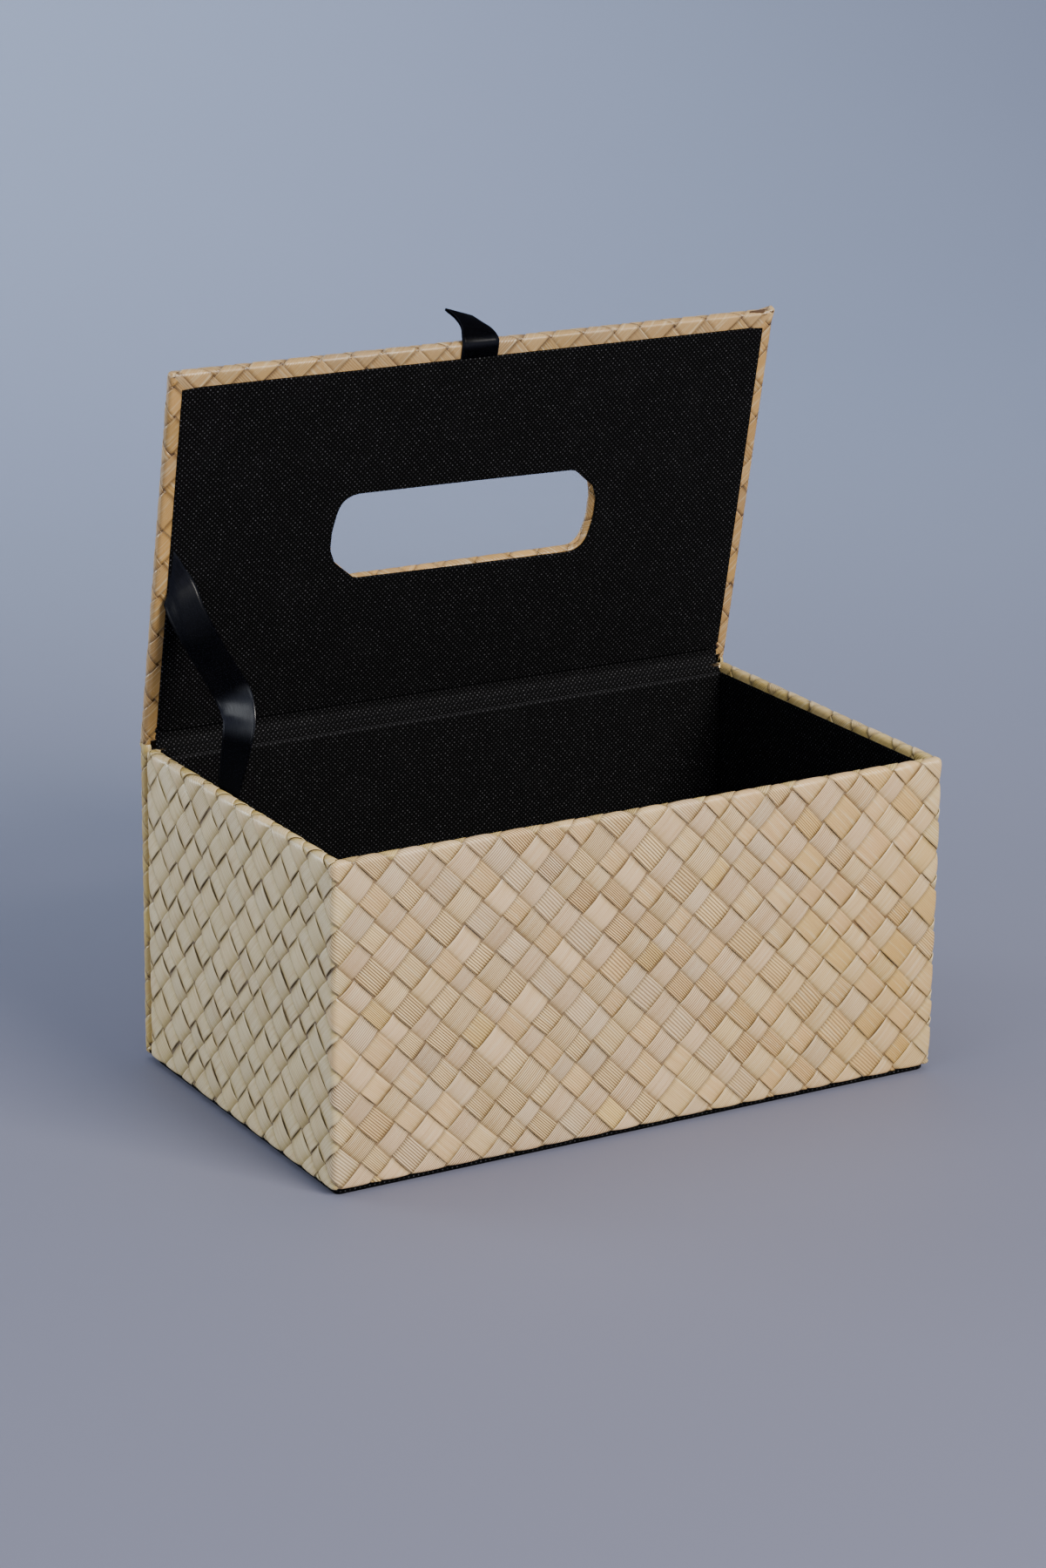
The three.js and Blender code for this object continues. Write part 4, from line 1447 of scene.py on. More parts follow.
@dataclass
class CaseWeave:
    """The case's mat: over the back cover, the hinge and the lid, with its edges turned in."""

    lid: LidFrame
    slot: SlotShape
    weave: Weave = field(default_factory=lambda: Weave(seed=23))
    tones: Tones = (
        (LeafTone.STRAW, 0.35),
        (LeafTone.TAN, 0.25),
        (LeafTone.GREY, 0.2),
        (LeafTone.YELLOW, 0.2),
    )
    smoothness: float = 0.32
    series: int = 4
    half_width: float = 125 * MM
    thick: float = 3.8 * MM
    edge: float = 1.5 * MM
    hinge_round: float = 0.6
    flap: float = 8.5 * MM
    cover_skin: float = 76.9 * MM
    cover_low: float = 2.7 * MM
    cover_top: float = 120.2 * MM
    hinge_out: float = 78.1 * MM
    hinge_level: float = 122.0 * MM
    lid_skin: float = 4.9 * MM
    lid_length: float = 145.5 * MM
    lid_start: float = 2.6 * MM
    slit_half: float = 0.6 * MM
    slot_edge: float = 0.55 * MM
    lip: float = 1.3 * MM
    lip_nose: float = 1.2 * MM
    lip_root: float = 0.2 * MM
    lip_end: float = -2 * MM
    lip_depth: float = 2.9 * MM
    flat_lead: float = 20 * MM
    lip_reach: float = 4 * MM
    cut_reach: float = 6 * MM
    lip_press: Band = Band(-1 * MM, 1.5 * MM, 0.6)
    hem_press: float = 0.93
    hem_seen: float = 4.2 * MM
    hem_spare: float = 1 * MM
    hinge_clear: float = 8 * MM
    bend_scores: int = 4
    hinge_scores: int = 14
    lip_scores: int = 3
    gilt_lead: float = 1 * MM
    gilt_lip: Band = Band(-1 * MM, 2 * MM)
    gilt_share: float = 0.85
    gilt_least: float = 0.6
    gilt_spread: float = 0.34
    gilt_smooth: float = 0.6
    gilt_dark: float = 0.3
    ear: float = 5 * MM
    ear_pull: float = 1.3 * MM
    ear_slant: float = 0.6

    def __post_init__(self) -> None:
        """Lays out the mat's run up the cover and out along the lid, and its turn round the side edges."""
        hem = self.lid_skin - self.thick
        ends = (
            (self.lid_start, self.lid_skin),
            (self.lid_length, self.lid_skin),
            (self.lid_length, hem),
            (self.lid_length - self.flap, hem),
        )
        lid_run = [tuple(self.lid.flat(*end)) for end in ends]
        cover_run = [
            (self.cover_skin - self.thick, self.cover_low),
            (self.cover_skin, self.cover_low),
            (self.cover_skin, self.cover_top),
            (self.hinge_out, self.hinge_level),
        ]
        edges = [self.edge, self.edge, self.hinge_round * self.edge, self.edge, self.edge, self.edge]
        self.main = RoundedPath(cover_run + lid_run, edges)
        self.foot, self.cover_rim, self.roll, self.lid_root, self.front, self.front_hem = self.main.folds
        wide, deep = self.half_width, self.thick
        self.side = RoundedPath(
            [(0, 0), (wide, 0), (wide, deep), (wide - self.flap, deep)], [self.edge] * 2
        )
        self.side_edge, self.side_hem = self.side.folds
        turn = [(-self.flat_lead, 0), (self.lip, 0), (self.lip, self.lip_nose)]
        turn += [(self.lip_root, self.lip_depth), (self.lip_end, self.lip_depth)]
        self.turn = RoundedPath(turn, [self.slot_edge] * 3)
        middle = (self.roll.end + self.lid_root.start) / 2
        self.slit = (middle - self.slit_half, middle + self.slit_half)
        self.looks = StripLooks(self.weave, self.tones, self.tones, self.series)

    def lid_place(self, reach: float) -> float:
        """Distance along the mat of a place on the lid's outer face."""
        return self.front.start - (self.lid_length - self.edge - reach)

    def slot_sides(self) -> tuple[Array, Array]:
        """The slot's outline on the flat sheet.

        Returns:
            Its corners, and the way inwards from the side after each.
        """
        across, reach = self.slot.corners()[::-1].T
        outline = np.stack([-across, reach + self.lid_place(0.0)], axis=1)
        heading = unit(np.roll(outline, -1, axis=0) - outline)
        return outline, np.stack([-heading[:, 1], heading[:, 0]], axis=1)

    def slot_depth(self, s: Array, t: Array) -> tuple[Array, Array]:
        """How far inside the slot's outline points lie, and the way inwards from the nearest side.

        The distance is the least of the distances to the outline's straight sides.

        Args:
            s, t: Places on the flat sheet.

        Returns:
            The distances, and unit vectors.
        """
        outline, inward = self.slot_sides()
        offset = np.stack([s, t], axis=-1)[:, None, :] - outline[None]
        distance = (offset * inward[None]).sum(axis=-1)
        nearest = distance.argmin(axis=1)
        return distance[np.arange(len(s)), nearest], inward[nearest]

    def place(self, flat: Array) -> Array:
        """Wraps points of the flat sheet round the side edges, through the slot and along the mat's run.

        Args:
            flat: s, t and height.

        Returns:
            Places in the model's frame.
        """
        s, t, height = flat.T.copy()
        inside, inward = self.slot_depth(s, t)
        near = inside > -self.lip_reach
        turned, off = self.turn.at(np.clip(inside, -self.flat_lead, None) + self.flat_lead)
        low = height * (1 - self.lip_press.of(inside))
        shift = np.where(near, turned[:, 0] - inside - low * off[:, 0], 0.0)
        sunk = np.where(near, turned[:, 1] - low * off[:, 1], 0.0)
        s = s + inward[:, 0] * shift
        t = t + inward[:, 1] * shift
        flap = smooth(np.abs(s), self.side_edge.start, self.side_hem.start)
        hem = smooth(t, self.front.start, self.front_hem.start)
        height = np.where(near, 0.0, height * (1 - self.hem_press * np.maximum(flap, hem)))
        wide, edge_off = self.side.at(np.abs(s))
        across = -np.sign(s) * (wide[:, 0] - height * edge_off[:, 0])
        depth = wide[:, 1] - height * edge_off[:, 1] + sunk
        run, inside_run = self.main.at(t)
        return np.column_stack([across, run + inside_run * depth[:, None]])

    def style(self, number: Array, falling: Array, *_: Array) -> Look:
        """Looks over the case: mixed all over the outside."""
        even = np.ones(len(number))
        return self.looks.draw(number, falling, self.smoothness * even, even)

    def scores(self) -> list[Score]:
        """Lines along which the sheet bends: side edges, run, hinge and mitres.

        Returns:
            The scores.
        """
        count = self.bend_scores
        edges = [p for bend in self.side.folds for p in bend.scores(count)]
        lines = [Score.at_s(sign * p) for p in edges for sign in (-1, 1)]
        ends = (self.foot, self.front, self.front_hem)
        lines += [Score.at_t(p) for bend in ends for p in bend.scores(count)]
        hinge = np.linspace(self.cover_rim.start, self.lid_root.end, self.hinge_scores)
        lines += [Score.at_t(p) for p in (*hinge, *self.slit)]
        for sign in (-1, 1):
            lines.append(Score((sign * self.side_edge.start, self.front_hem.end), (sign, 1.0)))
            lines.append(Score((sign * self.side_hem.end, self.front.start), (sign, 1.0)))
        return lines

    def slot_scores(self) -> list[Score]:
        """Lines along the slot's sides where the strips turn down through it.

        Returns:
            The scores.
        """
        places = np.concatenate([bend.scores(self.lip_scores) for bend in self.turn.folds])
        shifts = places - self.flat_lead
        sides = zip(*self.slot_sides())
        return [Score(tuple(corner + way * d), tuple(way)) for corner, way in sides for d in shifts]

    def keeps(self, centre: Array) -> Array:
        """Which faces stay: inside the turned flaps, mitred at the lid's corners, open in slot and hinge.

        Args:
            centre: Face centres on the flat sheet.

        Returns:
            A mask.
        """
        s, t = np.abs(centre[:, 0]), centre[:, 1]
        keep = (t > 0) & (t < self.main.length) & (s < self.side.length)
        in_slit = (t > self.slit[0]) & (t < self.slit[1])
        past_ends = (t > self.front.start) | (t < self.foot.end)
        keep &= ~((s > self.side_edge.end) & (past_ends | in_slit))
        on_lid = t > self.lid_root.end
        past_hem = s - self.side_hem.end
        keep &= ~((past_hem > 0) & on_lid & (past_hem > self.front.start - t))
        keep &= ~((past_hem > self.hem_spare) & ~on_lid)
        at_hinge = t < self.lid_place(self.hinge_clear)
        keep &= ~(at_hinge & (s > self.side.length - self.flap + self.hem_seen))
        past_front = t - self.front_hem.end
        keep &= ~((past_front > 0) & (past_front > self.side_edge.start - s))
        inside, _ = self.slot_depth(centre[:, 0], t)
        return keep & (inside < self.turn.length - self.flat_lead)

    def gild(self, sheet: Surface) -> None:
        """Makes the turned edges golden and smoother, point by point: lid hems gold, cover edges olive.

        Args:
            sheet: The flat sheet, whose values are changed.
        """
        values = sheet.values
        s, t = np.abs(sheet.points[:, 0]), sheet.points[:, 1]
        flap = smooth(s, self.side_edge.start - self.gilt_lead, self.side_hem.start)
        hem = smooth(t, self.front.start - self.gilt_lead, self.front_hem.start)
        on_lid = smooth(t, self.roll.start, self.lid_root.end)[:, None]
        lip = self.gilt_lip.of(self.slot_depth(sheet.points[:, 0], t)[0])
        turned = np.maximum(np.maximum(flap, hem), lip)[:, None]
        front = hem[:, None]
        hems = LeafTone.GOLD.opaque * (1 - front) + LeafTone.SAND.opaque * front
        colour = hems * on_lid + LeafTone.MOSS.opaque * (1 - on_lid)
        own = values["leaf_run"][:, 1:2] / self.weave.offset_span
        edge = colour * (self.gilt_least + self.gilt_spread * own)
        share = self.gilt_share * turned
        values["leaf_tone"] = values["leaf_tone"] * (1 - share) + edge * share
        values["leaf_depth"] = values["leaf_depth"] * (1 - self.gilt_smooth * turned)
        # Painted shade with some dirt, deeper between the strips of the turned edges.
        values["leaf_shade_and_dirt"] = values["leaf_shade_and_dirt"] * (1 + self.gilt_dark * turned)

    def dog_ear(self, points: Array) -> Array:
        """The pull that draws the lid's right front corner out to a small point.

        The pull is full at the corner and fades smoothly over a few millimetres along both edges.

        Args:
            points: Places in the model's frame.

        Returns:
            How far each point is drawn.
        """
        out = self.lid.way(0.0, 1.0, 0.0)
        reach = (points - self.lid.place(0.0, 0.0, 0.0)) @ out
        across = smooth(points[:, 0], self.half_width - self.ear, self.half_width)
        along = smooth(reach, self.lid_length - self.ear, self.lid_length)
        pull = self.ear_pull * (out + np.array([self.ear_slant, 0.0, 0.0]))
        return (across * along)[:, None] * pull

    def build(self, material: Material) -> Piece:
        """The woven mat of cover, hinge and lid, in place of the three CAD solids.

        Args:
            material: The leaf.

        Returns:
            The piece.
        """
        region = (-self.side.length, self.side.length, 0.0, self.main.length)
        sheet = scored(self.weave.floats(region, self.style), self.scores())
        near = self.slot_depth(*sheet.centres()[:, :2].T)[0] > -self.cut_reach
        sheet = Surface.joined([sheet.kept(~near), scored(sheet.kept(near), self.slot_scores())])
        centre = sheet.centres()
        bed = sheet.values["leaf_depth"][sheet.faces].max(axis=(1, 2)) == 0
        turned = self.slot_depth(*centre[:, :2].T)[0] > self.lip - self.slot_edge
        sheet = sheet.kept(self.keeps(centre) & ~(bed & turned))
        self.gild(sheet)
        sheet.points = self.place(sheet.points)
        sheet.points += self.dog_ear(sheet.points)
        made = sheet.piece("case_weave", material)
        cover = self.main.at(np.array([self.cover_rim.start]))[0][0]
        lid_seat = self.lid.flat(self.lid_start, self.lid_skin - self.thick)
        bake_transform(made)
        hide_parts("back_cover_mat", "hinge_mat", "lid_mat")
        return made


@dataclass
class SlotCollar:
    """Plain leaf behind the turned strips in the slot, so that no corner of it is open."""

    case: CaseWeave
    behind: float = 0.35 * MM
    # Painted shade with some dirt on the collar behind the turned strips.
    dark: float = 0.1
    steps: int = 12

    def build(self, material: Material) -> Piece:
        """A band along the slot's outline, a little behind the turned strips all the way through.

        Args:
            material: The leaf.

        Returns:
            The piece.
        """
        turn = self.case.turn
        place = np.linspace(turn.folds[0].start, turn.folds[2].end, self.steps)
        (inside, depth), (off_in, off_deep) = (part.T for part in turn.at(place))
        inside = inside + off_in * self.behind
        heights = self.case.lid_skin - depth - off_deep * self.behind
        rings = np.stack([self.case.slot.corners(-float(step)) for step in inside], axis=1)
        rings = np.concatenate([rings, rings[:1]])
        points = self.case.lid.place(rings[..., 0], rings[..., 1], heights[None, :])
        count = points.shape[:2]
        run = np.zeros((*count, 3))
        run[..., 0] = lengths(rings[:, 0])[:, None]
        run[..., 1] = place
        tone = np.broadcast_to(LeafTone.GOLD.opaque, (*count, 4))
        values = plain_leaf(count, tone, self.dark, run)
        made = Surface.grid(points, values).piece("slot_collar", material)
        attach(made, "lid")
        return made


@dataclass
class CoveredCards:
    """Lining cards of the tray, each with softly rounded edges where the cloth turns."""

    nodes: tuple[str, ...] = (
        "front_lining",
        "back_lining",
        "left_lining",
        "right_lining",
        "floor_lining",
    )
    painted_lit: str = "back_lining"
    painted_light_share: float = 0.5
    unpainted_top: Band = Band(0.7 * MM, 1.3 * MM)
    steps: int = 40
    crown: float = 0.12 * MM
    crown_power: int = 4

    def card(self, node: str) -> Surface:
        """One card as two sheets that meet at its rim.

        Height over the middle plane is half the thickness times the root of one less the square of how far
        the point has come into the edge's rounding, plus a slight crown.

        Args:
            node: The CAD solid that the card takes its box from.

        Returns:
            The card.
        """
        low, high = (np.array(corner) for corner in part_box(node))
        half = (high - low) / 2
        middle = (low + high) / 2
        thin = int(half.argmin())
        wide, tall = [k for k in range(3) if k != thin]
        ease = np.sin(eased(self.steps) * math.pi / 2)
        u, v = np.meshgrid(ease, ease, indexing="ij")
        from_top = half[tall] * (1 - np.abs(v))
        gone = np.minimum(half[wide] * (1 - np.abs(u)), from_top)
        crown = self.crown * (1 - u**self.crown_power) * (1 - v**self.crown_power) * (gone > 0)
        rise = rounded(gone, half[thin]) * half[thin] + crown
        # Painted light over the back lining's upper half, fading out just below its top edge.
        painted_lit = self.painted_light_share * (node == self.painted_lit) * (v > 0) * (1 - self.unpainted_top.of(from_top))
        place = np.stack([half[wide] * u, half[tall] * v, np.zeros(u.shape)], axis=-1)
        sheets = []
        for side in (1, -1):
            points = np.zeros((*u.shape, 3))
            points[..., wide] = middle[wide] + place[..., 0]
            points[..., tall] = middle[tall] + place[..., 1]
            points[..., thin] = middle[thin] + side * rise
            sheet = Surface.grid(points, {"flat_place": place, "cloth_painted_light": painted_lit})
            normal = np.cross(np.eye(3)[wide], np.eye(3)[tall])[thin] * side
            sheets.append(sheet if normal > 0 else sheet.turned())
        return Surface.joined(sheets)

    def build(self, material: Material) -> list[Piece]:
        """All cards, each in place of its CAD solid.

        Args:
            material: The cloth.

        Returns:
            The pieces.
        """
        made = []
        for node in self.nodes:
            piece = self.card(node).piece(f"{node}_card", material)
            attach(piece, "box")
            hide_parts(node)
            made.append(piece)
        return made


@dataclass
class LidLining:
    """The lid's lining card, with the slot cut through it."""

    lid: LidFrame
    slot: SlotShape
    half_width: float = 120.5 * MM
    near: float = 6.0 * MM
    far: float = 139.7 * MM
    face: float = 0.3 * MM
    back: float = 1.9 * MM
    soft: float = 0.7 * MM
    slot_crisp: int = 2
    slot_gap: float = 0.1 * MM
    corner: float = 1.5 * MM
    around: int = 240
    across: int = 36
    rim_steps: tuple[float, ...] = (0.004, 0.010, 0.018, 0.982, 0.990, 0.996)

    def rings(self) -> tuple[Array, Array]:
        """The slot's outline and the card's outline, with matching points at equal angles.

        Returns:
            Two closed rings of across and reach.
        """
        angle = np.linspace(0, math.tau, self.around + 1)
        way = np.stack([np.cos(angle), np.sin(angle)], axis=1)
        middle = np.array([0.0, self.slot.centre])
        wide, near, far = self.half_width, self.near, self.far
        box = np.array([(wide, near), (wide, far), (-wide, far), (-wide, near)])
        hole = self._cast(self.cut() - middle, way)
        return hole + middle, self._cast(box - middle, way) + middle

    def cut(self) -> Array:
        """The hole's outline: the slot's, with the two straight corners cut less deep.

        Returns:
            The corners.
        """
        outline = self.slot.corners(self.slot_gap)
        half = len(outline) // 2
        along = unit(outline[half - 1] - outline[half - 2])
        inward = np.array([-along[1], along[0]]) * self.corner
        outline[half - 2 : half] += inward
        outline[-2:] -= inward
        return outline

    @staticmethod
    def _cast(outline: Array, way: Array) -> Array:
        """Where rays from the middle meet a convex outline: the least distance to its sides along each ray.

        Args:
            outline: The outline's corners, turning left about the middle.
            way: Unit directions of the rays.

        Returns:
            The points met.
        """
        heading = np.roll(outline, -1, axis=0) - outline
        outward = unit(np.stack([heading[:, 1], -heading[:, 0]], axis=1))
        stand = (outward * outline).sum(axis=1)
        facing = way @ outward.T
        met = np.where(facing > PARALLEL, stand / np.maximum(facing, PARALLEL), np.inf)
        return way * met.min(axis=1)[:, None]

    def build(self, material: Material) -> Piece:
        """The card as a front and a back sheet between the two rings, rounded where they meet.

        Args:
            material: The cloth.

        Returns:
            The piece.
        """
        hole, card = self.rings()
        share = 0.5 + 0.5 * eased(self.across)
        share = np.unique(np.concatenate([share, np.array(self.rim_steps)]))
        flat = hole[:, None] + (card - hole)[:, None] * share[None, :, None]
        span = np.linalg.norm(card - hole, axis=1)[:, None]
        gone = np.minimum(self.slot_crisp * share[None, :] * span, (1 - share[None, :]) * span)
        rise = (self.back - self.face) / 2 * rounded(gone, self.soft)
        middle = (self.face + self.back) / 2
        place = np.concatenate([flat, np.zeros((*flat.shape[:2], 1))], axis=-1)
        front, back = (
            Surface.grid(self.lid.place(flat[..., 0], flat[..., 1], level), {"flat_place": place})
            for level in (middle - rise, middle + rise)
        )
        made = Surface.joined([front, back.turned()]).piece("lid_lining_card", material)
        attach(made, "lid")
        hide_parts("lid_lining")
        return made


@dataclass
class HingeCloth:
    """The cloth inside the hinge: from behind the back lining over the wall to under the lid's lining."""

    lid: LidFrame
    thick: float = 0.35 * MM
    columns: int = 60
    rows: int = 70
    reach_out: float = 0.5 * MM
    painted_lit: float = 0.14
    inside: float = 69.8 * MM
    low_end: float = 109 * MM
    over: float = 120.6 * MM
    wall_edge: float = 72.2 * MM
    lid_from: float = 2.6 * MM
    lid_to: float = 7.5 * MM
    lid_level: float = 1.55 * MM
    turn_end: float = 2.2 * MM
    radii: tuple[float, ...] = (0.9 * MM, 0.8 * MM, 0.6 * MM)

    def __post_init__(self) -> None:
        """Takes the cloth's width from the CAD solid."""
        self.half_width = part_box("hinge_cloth")[1].x + self.reach_out

    def route(self) -> RoundedPath:
        """The cloth's run in the YZ plane, with a soft roll where the lid folds.

        Returns:
            The run.
        """
        wall = [(self.inside, self.low_end), (self.inside, self.over), (self.wall_edge, self.over)]
        lid = [tuple(self.lid.flat(reach, self.lid_level)) for reach in (self.lid_from, self.lid_to)]
        return RoundedPath(wall + lid, self.radii)

    def build(self, material: Material) -> Piece:
        """A thin closed strip carried across the box's width.

        Args:
            material: The cloth.

        Returns:
            The piece.
        """
        route = self.route()
        place = np.linspace(0, route.length, self.rows)
        point, left = route.at(place)
        off = left * self.thick / 2
        loop = np.concatenate([point + off, (point - off)[::-1]])
        points = np.zeros((len(loop), self.columns, 3))
        points[..., 0] = np.linspace(-self.half_width, self.half_width, self.columns)
        points[..., 1:] = loop[:, None, :]
        flat = np.zeros_like(points)
        flat[..., 0] = points[..., 0]
        flat[..., 1] = np.concatenate([place, place[::-1]])[:, None]
        # A little painted light all over the hinge cloth.
        values = {"flat_place": flat, "cloth_painted_light": np.full(points.shape[:2], self.painted_lit)}
        made = Surface.grid(points, values, closed=True).piece("hinge_cloth_strip", material)
        end = (0.0, *(float(v) for v in self.lid.flat(self.turn_end, self.lid_level)))
        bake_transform(made)
        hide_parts("hinge_cloth")
        2 * self.half_width
        return made


def smooth_line(knots: Array, count: int, fine: int = 600) -> Array:
    """An even curve through knots: a cardinal spline, evened out along its length.

    Args:
        knots: The points to pass.
        count: Points wanted.
        fine: Points worked out before evening.

    Returns:
        The curve's points.
    """
    padded = np.vstack([2 * knots[0] - knots[1], knots, 2 * knots[-1] - knots[-2]])
    place = np.linspace(0, len(knots) - 1, fine)
    k = np.minimum(place.astype(int), len(knots) - 2)
    u = (place - k)[:, None]
    p0, p1, p2, p3 = (padded[k + shift] for shift in range(4))
    square = 2 * p0 - 5 * p1 + 4 * p2 - p3
    cube = 3 * p1 - p0 - 3 * p2 + p3
    line = 0.5 * (2 * p1 + (p2 - p0) * u + square * u**2 + cube * u**3)
    gone = lengths(line)
    return on_line(np.linspace(0, gone[-1], count), gone, line)


def ribbon_frame(line: Array, across: Array) -> tuple[Array, Array, Array]:
    """Directions along a ribbon, across it and off its face.

    Args:
        line: The ribbon's middle line.
        across: About the direction of its width at each point.

    Returns:
        The three unit vectors at each point, square to each other.
    """
    along = unit(np.gradient(line, axis=0))
    across = unit(across - (across * along).sum(axis=1, keepdims=True) * along)
    return along, across, np.cross(along, across)


@dataclass(frozen=True)
class Ribbon:
    """Satin ribbon stock."""

    width: float
    lanes: int
    thick: float = 0.25 * MM

    def offsets(self) -> Array:
        """Each lane's distance from the middle."""
        return np.linspace(-0.5, 0.5, self.lanes) * self.width

    def along(self, line: Array, across: Array, gloss: Array, starts: Array) -> Surface:
        """A thin closed ribbon along a line.

        Each place is the line plus the across direction times the distance from the middle; the two faces
        stand half a thickness to either side.

        Args:
            line: The ribbon's middle line.
            across: The direction of its width at each point.
            gloss: How much it shines at each point.
            starts: For each lane across it, how far along the line it starts.

        Returns:
            The ribbon.
        """
        _, across, face = ribbon_frame(line, across)
        lanes, count = self.lanes, len(line)
        offset = np.concatenate([self.offsets(), self.offsets()[::-1]])
        start = np.concatenate([starts, starts[::-1]])[:, None]
        lift = np.repeat([0.5, -0.5], lanes) * self.thick
        gone = lengths(line)
        place = start + np.linspace(0, 1, count) * (gone[-1] - start)
        middle, wide, up = (on_line(place, gone, part) for part in (line, across, face))
        points = middle + wide * offset[:, None, None] + up * lift[:, None, None]
        flat = np.zeros_like(points)
        flat[..., 0] = offset[:, None]
        flat[..., 1] = place
        values = {"flat_place": flat, "satin_gloss": np.interp(place, gone, gloss)}
        ribbon = Surface.grid(points, values, closed=True)
        near = np.arange(lanes) * count
        facing = (2 * lanes - 1 - np.arange(lanes)) * count
        first = np.stack([near[:-1], near[1:], facing[1:], facing[:-1]], axis=1)
        last = (first + count - 1)[:, ::-1]
        ribbon.faces = np.concatenate([ribbon.faces, first, last])
        return ribbon


@dataclass
class StayRibbon:
    """The satin ribbon that stops the lid: out from behind the lining's edge, slack, and down to the wall."""

    lid: LidFrame
    ribbon: Ribbon = Ribbon(13 * MM, 13)
    edge: float = -120.5 * MM
    comes_out: float = 68 * MM
    slant: float = 33.0
    lead: float = 6.5 * MM
    hidden: float = 11 * MM
    heights: Point = (0.0, -0.3, -1.6)
    hanging: tuple[Point, ...] = (
        (-115.8, 54.7, 174.6),
        (-113.8, 43.3, 163.8),
        (-112.6, 26.9, 153.1),
        (-112.6, 21.3, 146.5),
        (-113.3, 20.0, 140.5),
        (-116.0, 18.6, 129.8),
        (-119.3, 16.8, 118.9),
        (-120.1, 16.6, 116.9),
    )
    twist: tuple[tuple[float, float], ...] = ((0.2, 0.0), (0.5, 32.0), (0.8, 64.0), (1.0, 86.0))
    leaves_lid: Band = Band(0.2, 0.5)
    tuck: float = 1.1 * MM
    untucked: Band = Band(-0.5 * MM, 2.5 * MM)
    tuck_above: float = 150 * MM
    bend: int = 3
    band: float = 7 * MM
    band_power: int = 4
    top_gloss: float = 0.5
    top_fade: Band = Band(14 * MM, 40 * MM)
    count: int = 100

    def build(self, material: Material) -> Piece:
        """The ribbon along its knots, turning from the lid's plane to the wall's.

        Args:
            material: The satin.

        Returns:
            The piece.
        """
        slant = math.radians(self.slant)
        sine, cosine = math.sin(slant), math.cos(slant)
        across = self.edge + np.array([-sine * self.hidden, 0.0, self.lead * sine])
        reach = self.comes_out + np.array([cosine * self.hidden, 0.0, -self.lead * cosine])
        on_lid = self.lid.place(across, reach, np.array(self.heights) * MM)
        hanging = np.array(self.hanging) * MM
        line = smooth_line(np.concatenate([on_lid, hanging]), self.count)
        share = np.linspace(0, 1, self.count)
        angle = np.radians(np.interp(share, *zip(*self.twist)))
        hung_across = np.stack([np.cos(angle), -np.sin(angle), np.zeros(self.count)], axis=1)
        turn = self.leaves_lid.of(share)[:, None]
        wide = self.lid.way(cosine, sine, 0.0) * (1 - turn) + hung_across * turn
        starts = np.maximum(self.hidden - self.ribbon.offsets() / math.tan(slant), 0.0)
        gone = lengths(line)
        bend = gone[np.linalg.norm(line - hanging[self.bend], axis=1).argmin()]
        # Where the ribbon shines at its bend and near the lid: a real coat there, and a painted sheen in its
        # colour.
        gloss = np.exp(-(((gone - bend) / self.band) ** self.band_power))
        gloss = gloss + self.top_gloss * (1 - self.top_fade.of(gone))
        surface = self.ribbon.along(line, wide, gloss, starts)
        back = 1 - self.untucked.of(surface.points[:, 0] - self.edge)
        back = back * (surface.points[:, 2] > self.tuck_above)
        surface.points += back[:, None] * self.lid.way(0.0, 0.0, self.tuck)
        made = surface.piece("stay_ribbon_satin", material)
        tuple(line[self.count // 3])
        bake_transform(made)
        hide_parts("stay_ribbon")
        return made


@dataclass
class PullTab:
    """The doubled satin ribbon at the lid's front edge, bent back and twisted a little."""

    lid: LidFrame
    ribbon: Ribbon = Ribbon(15 * MM, 11)
    middle: float = -2 * MM
    edge: float = 145.5 * MM
    gap: float = 0.4 * MM
    loop: float = 0.9 * MM
    shine: float = 1.2 * MM
    gloss: float = 0.5
    twisted: Point = (0.855, 0.447, -0.254)
    knots: tuple[Point, ...] = (
        (0.0, 136.5, 1.25),
        (0.0, 138.8, 1.2),
        (0.0, 140.6, 0.75),
        (0.0, 143.0, 0.68),
        (0.0, 144.9, 0.7),
        (-0.05, 146.4, 1.3),
        (-0.4, 149.3, 4.5),
        (-1.4, 151.0, 8.7),
        (-2.6, 151.9, 14.0),
    )
    count: int = 60
    tip_steps: int = 9

    def build(self, material: Material) -> Piece:
        """The loop: out over the hem, bent back past the lid's edge, folded at its tip and home again.

        Args:
            material: The satin.

        Returns:
            The piece.
        """
        slide, reach, height = np.array(self.knots).T * MM
        line = smooth_line(self.lid.place(self.middle + slide, reach, height), self.count)
        edge = float(self.lid.place(0.0, self.edge, 0.0)[2])
        beyond = smooth(line[:, 2], edge, float(line[-1, 2]))[:, None]
        across = np.array([1.0, 0.0, 0.0]) * (1 - beyond) + np.array(self.twisted) * beyond
        along, across, face = ribbon_frame(line, across)
        apart = face * ((self.gap + (self.loop - self.gap) * beyond) / 2)
        angle = np.linspace(math.pi / 2, -math.pi / 2, self.tip_steps)[1:-1, None]
        tip = line[-1] + (along[-1] * np.cos(angle) + face[-1] * np.sin(angle)) * self.loop / 2
        route = np.concatenate([line + apart, tip, (line - apart)[::-1]])
        wide = np.concatenate([across, np.repeat(across[-1:], len(tip), axis=0), across[::-1]])
        # Where the tab shines at the lid's edge: a real coat there, and a painted sheen in its colour.
        bent = self.gloss * np.exp(-(((line[:, 2] - edge) / self.shine) ** 2))
        gloss = np.concatenate([bent, np.zeros(len(tip)), bent[::-1]])
        surface = self.ribbon.along(route, wide, gloss, np.zeros(self.ribbon.lanes))
        made = surface.piece("pull_tab_satin", material)
        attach(made, "lid")
        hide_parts("pull_tab")
        return made


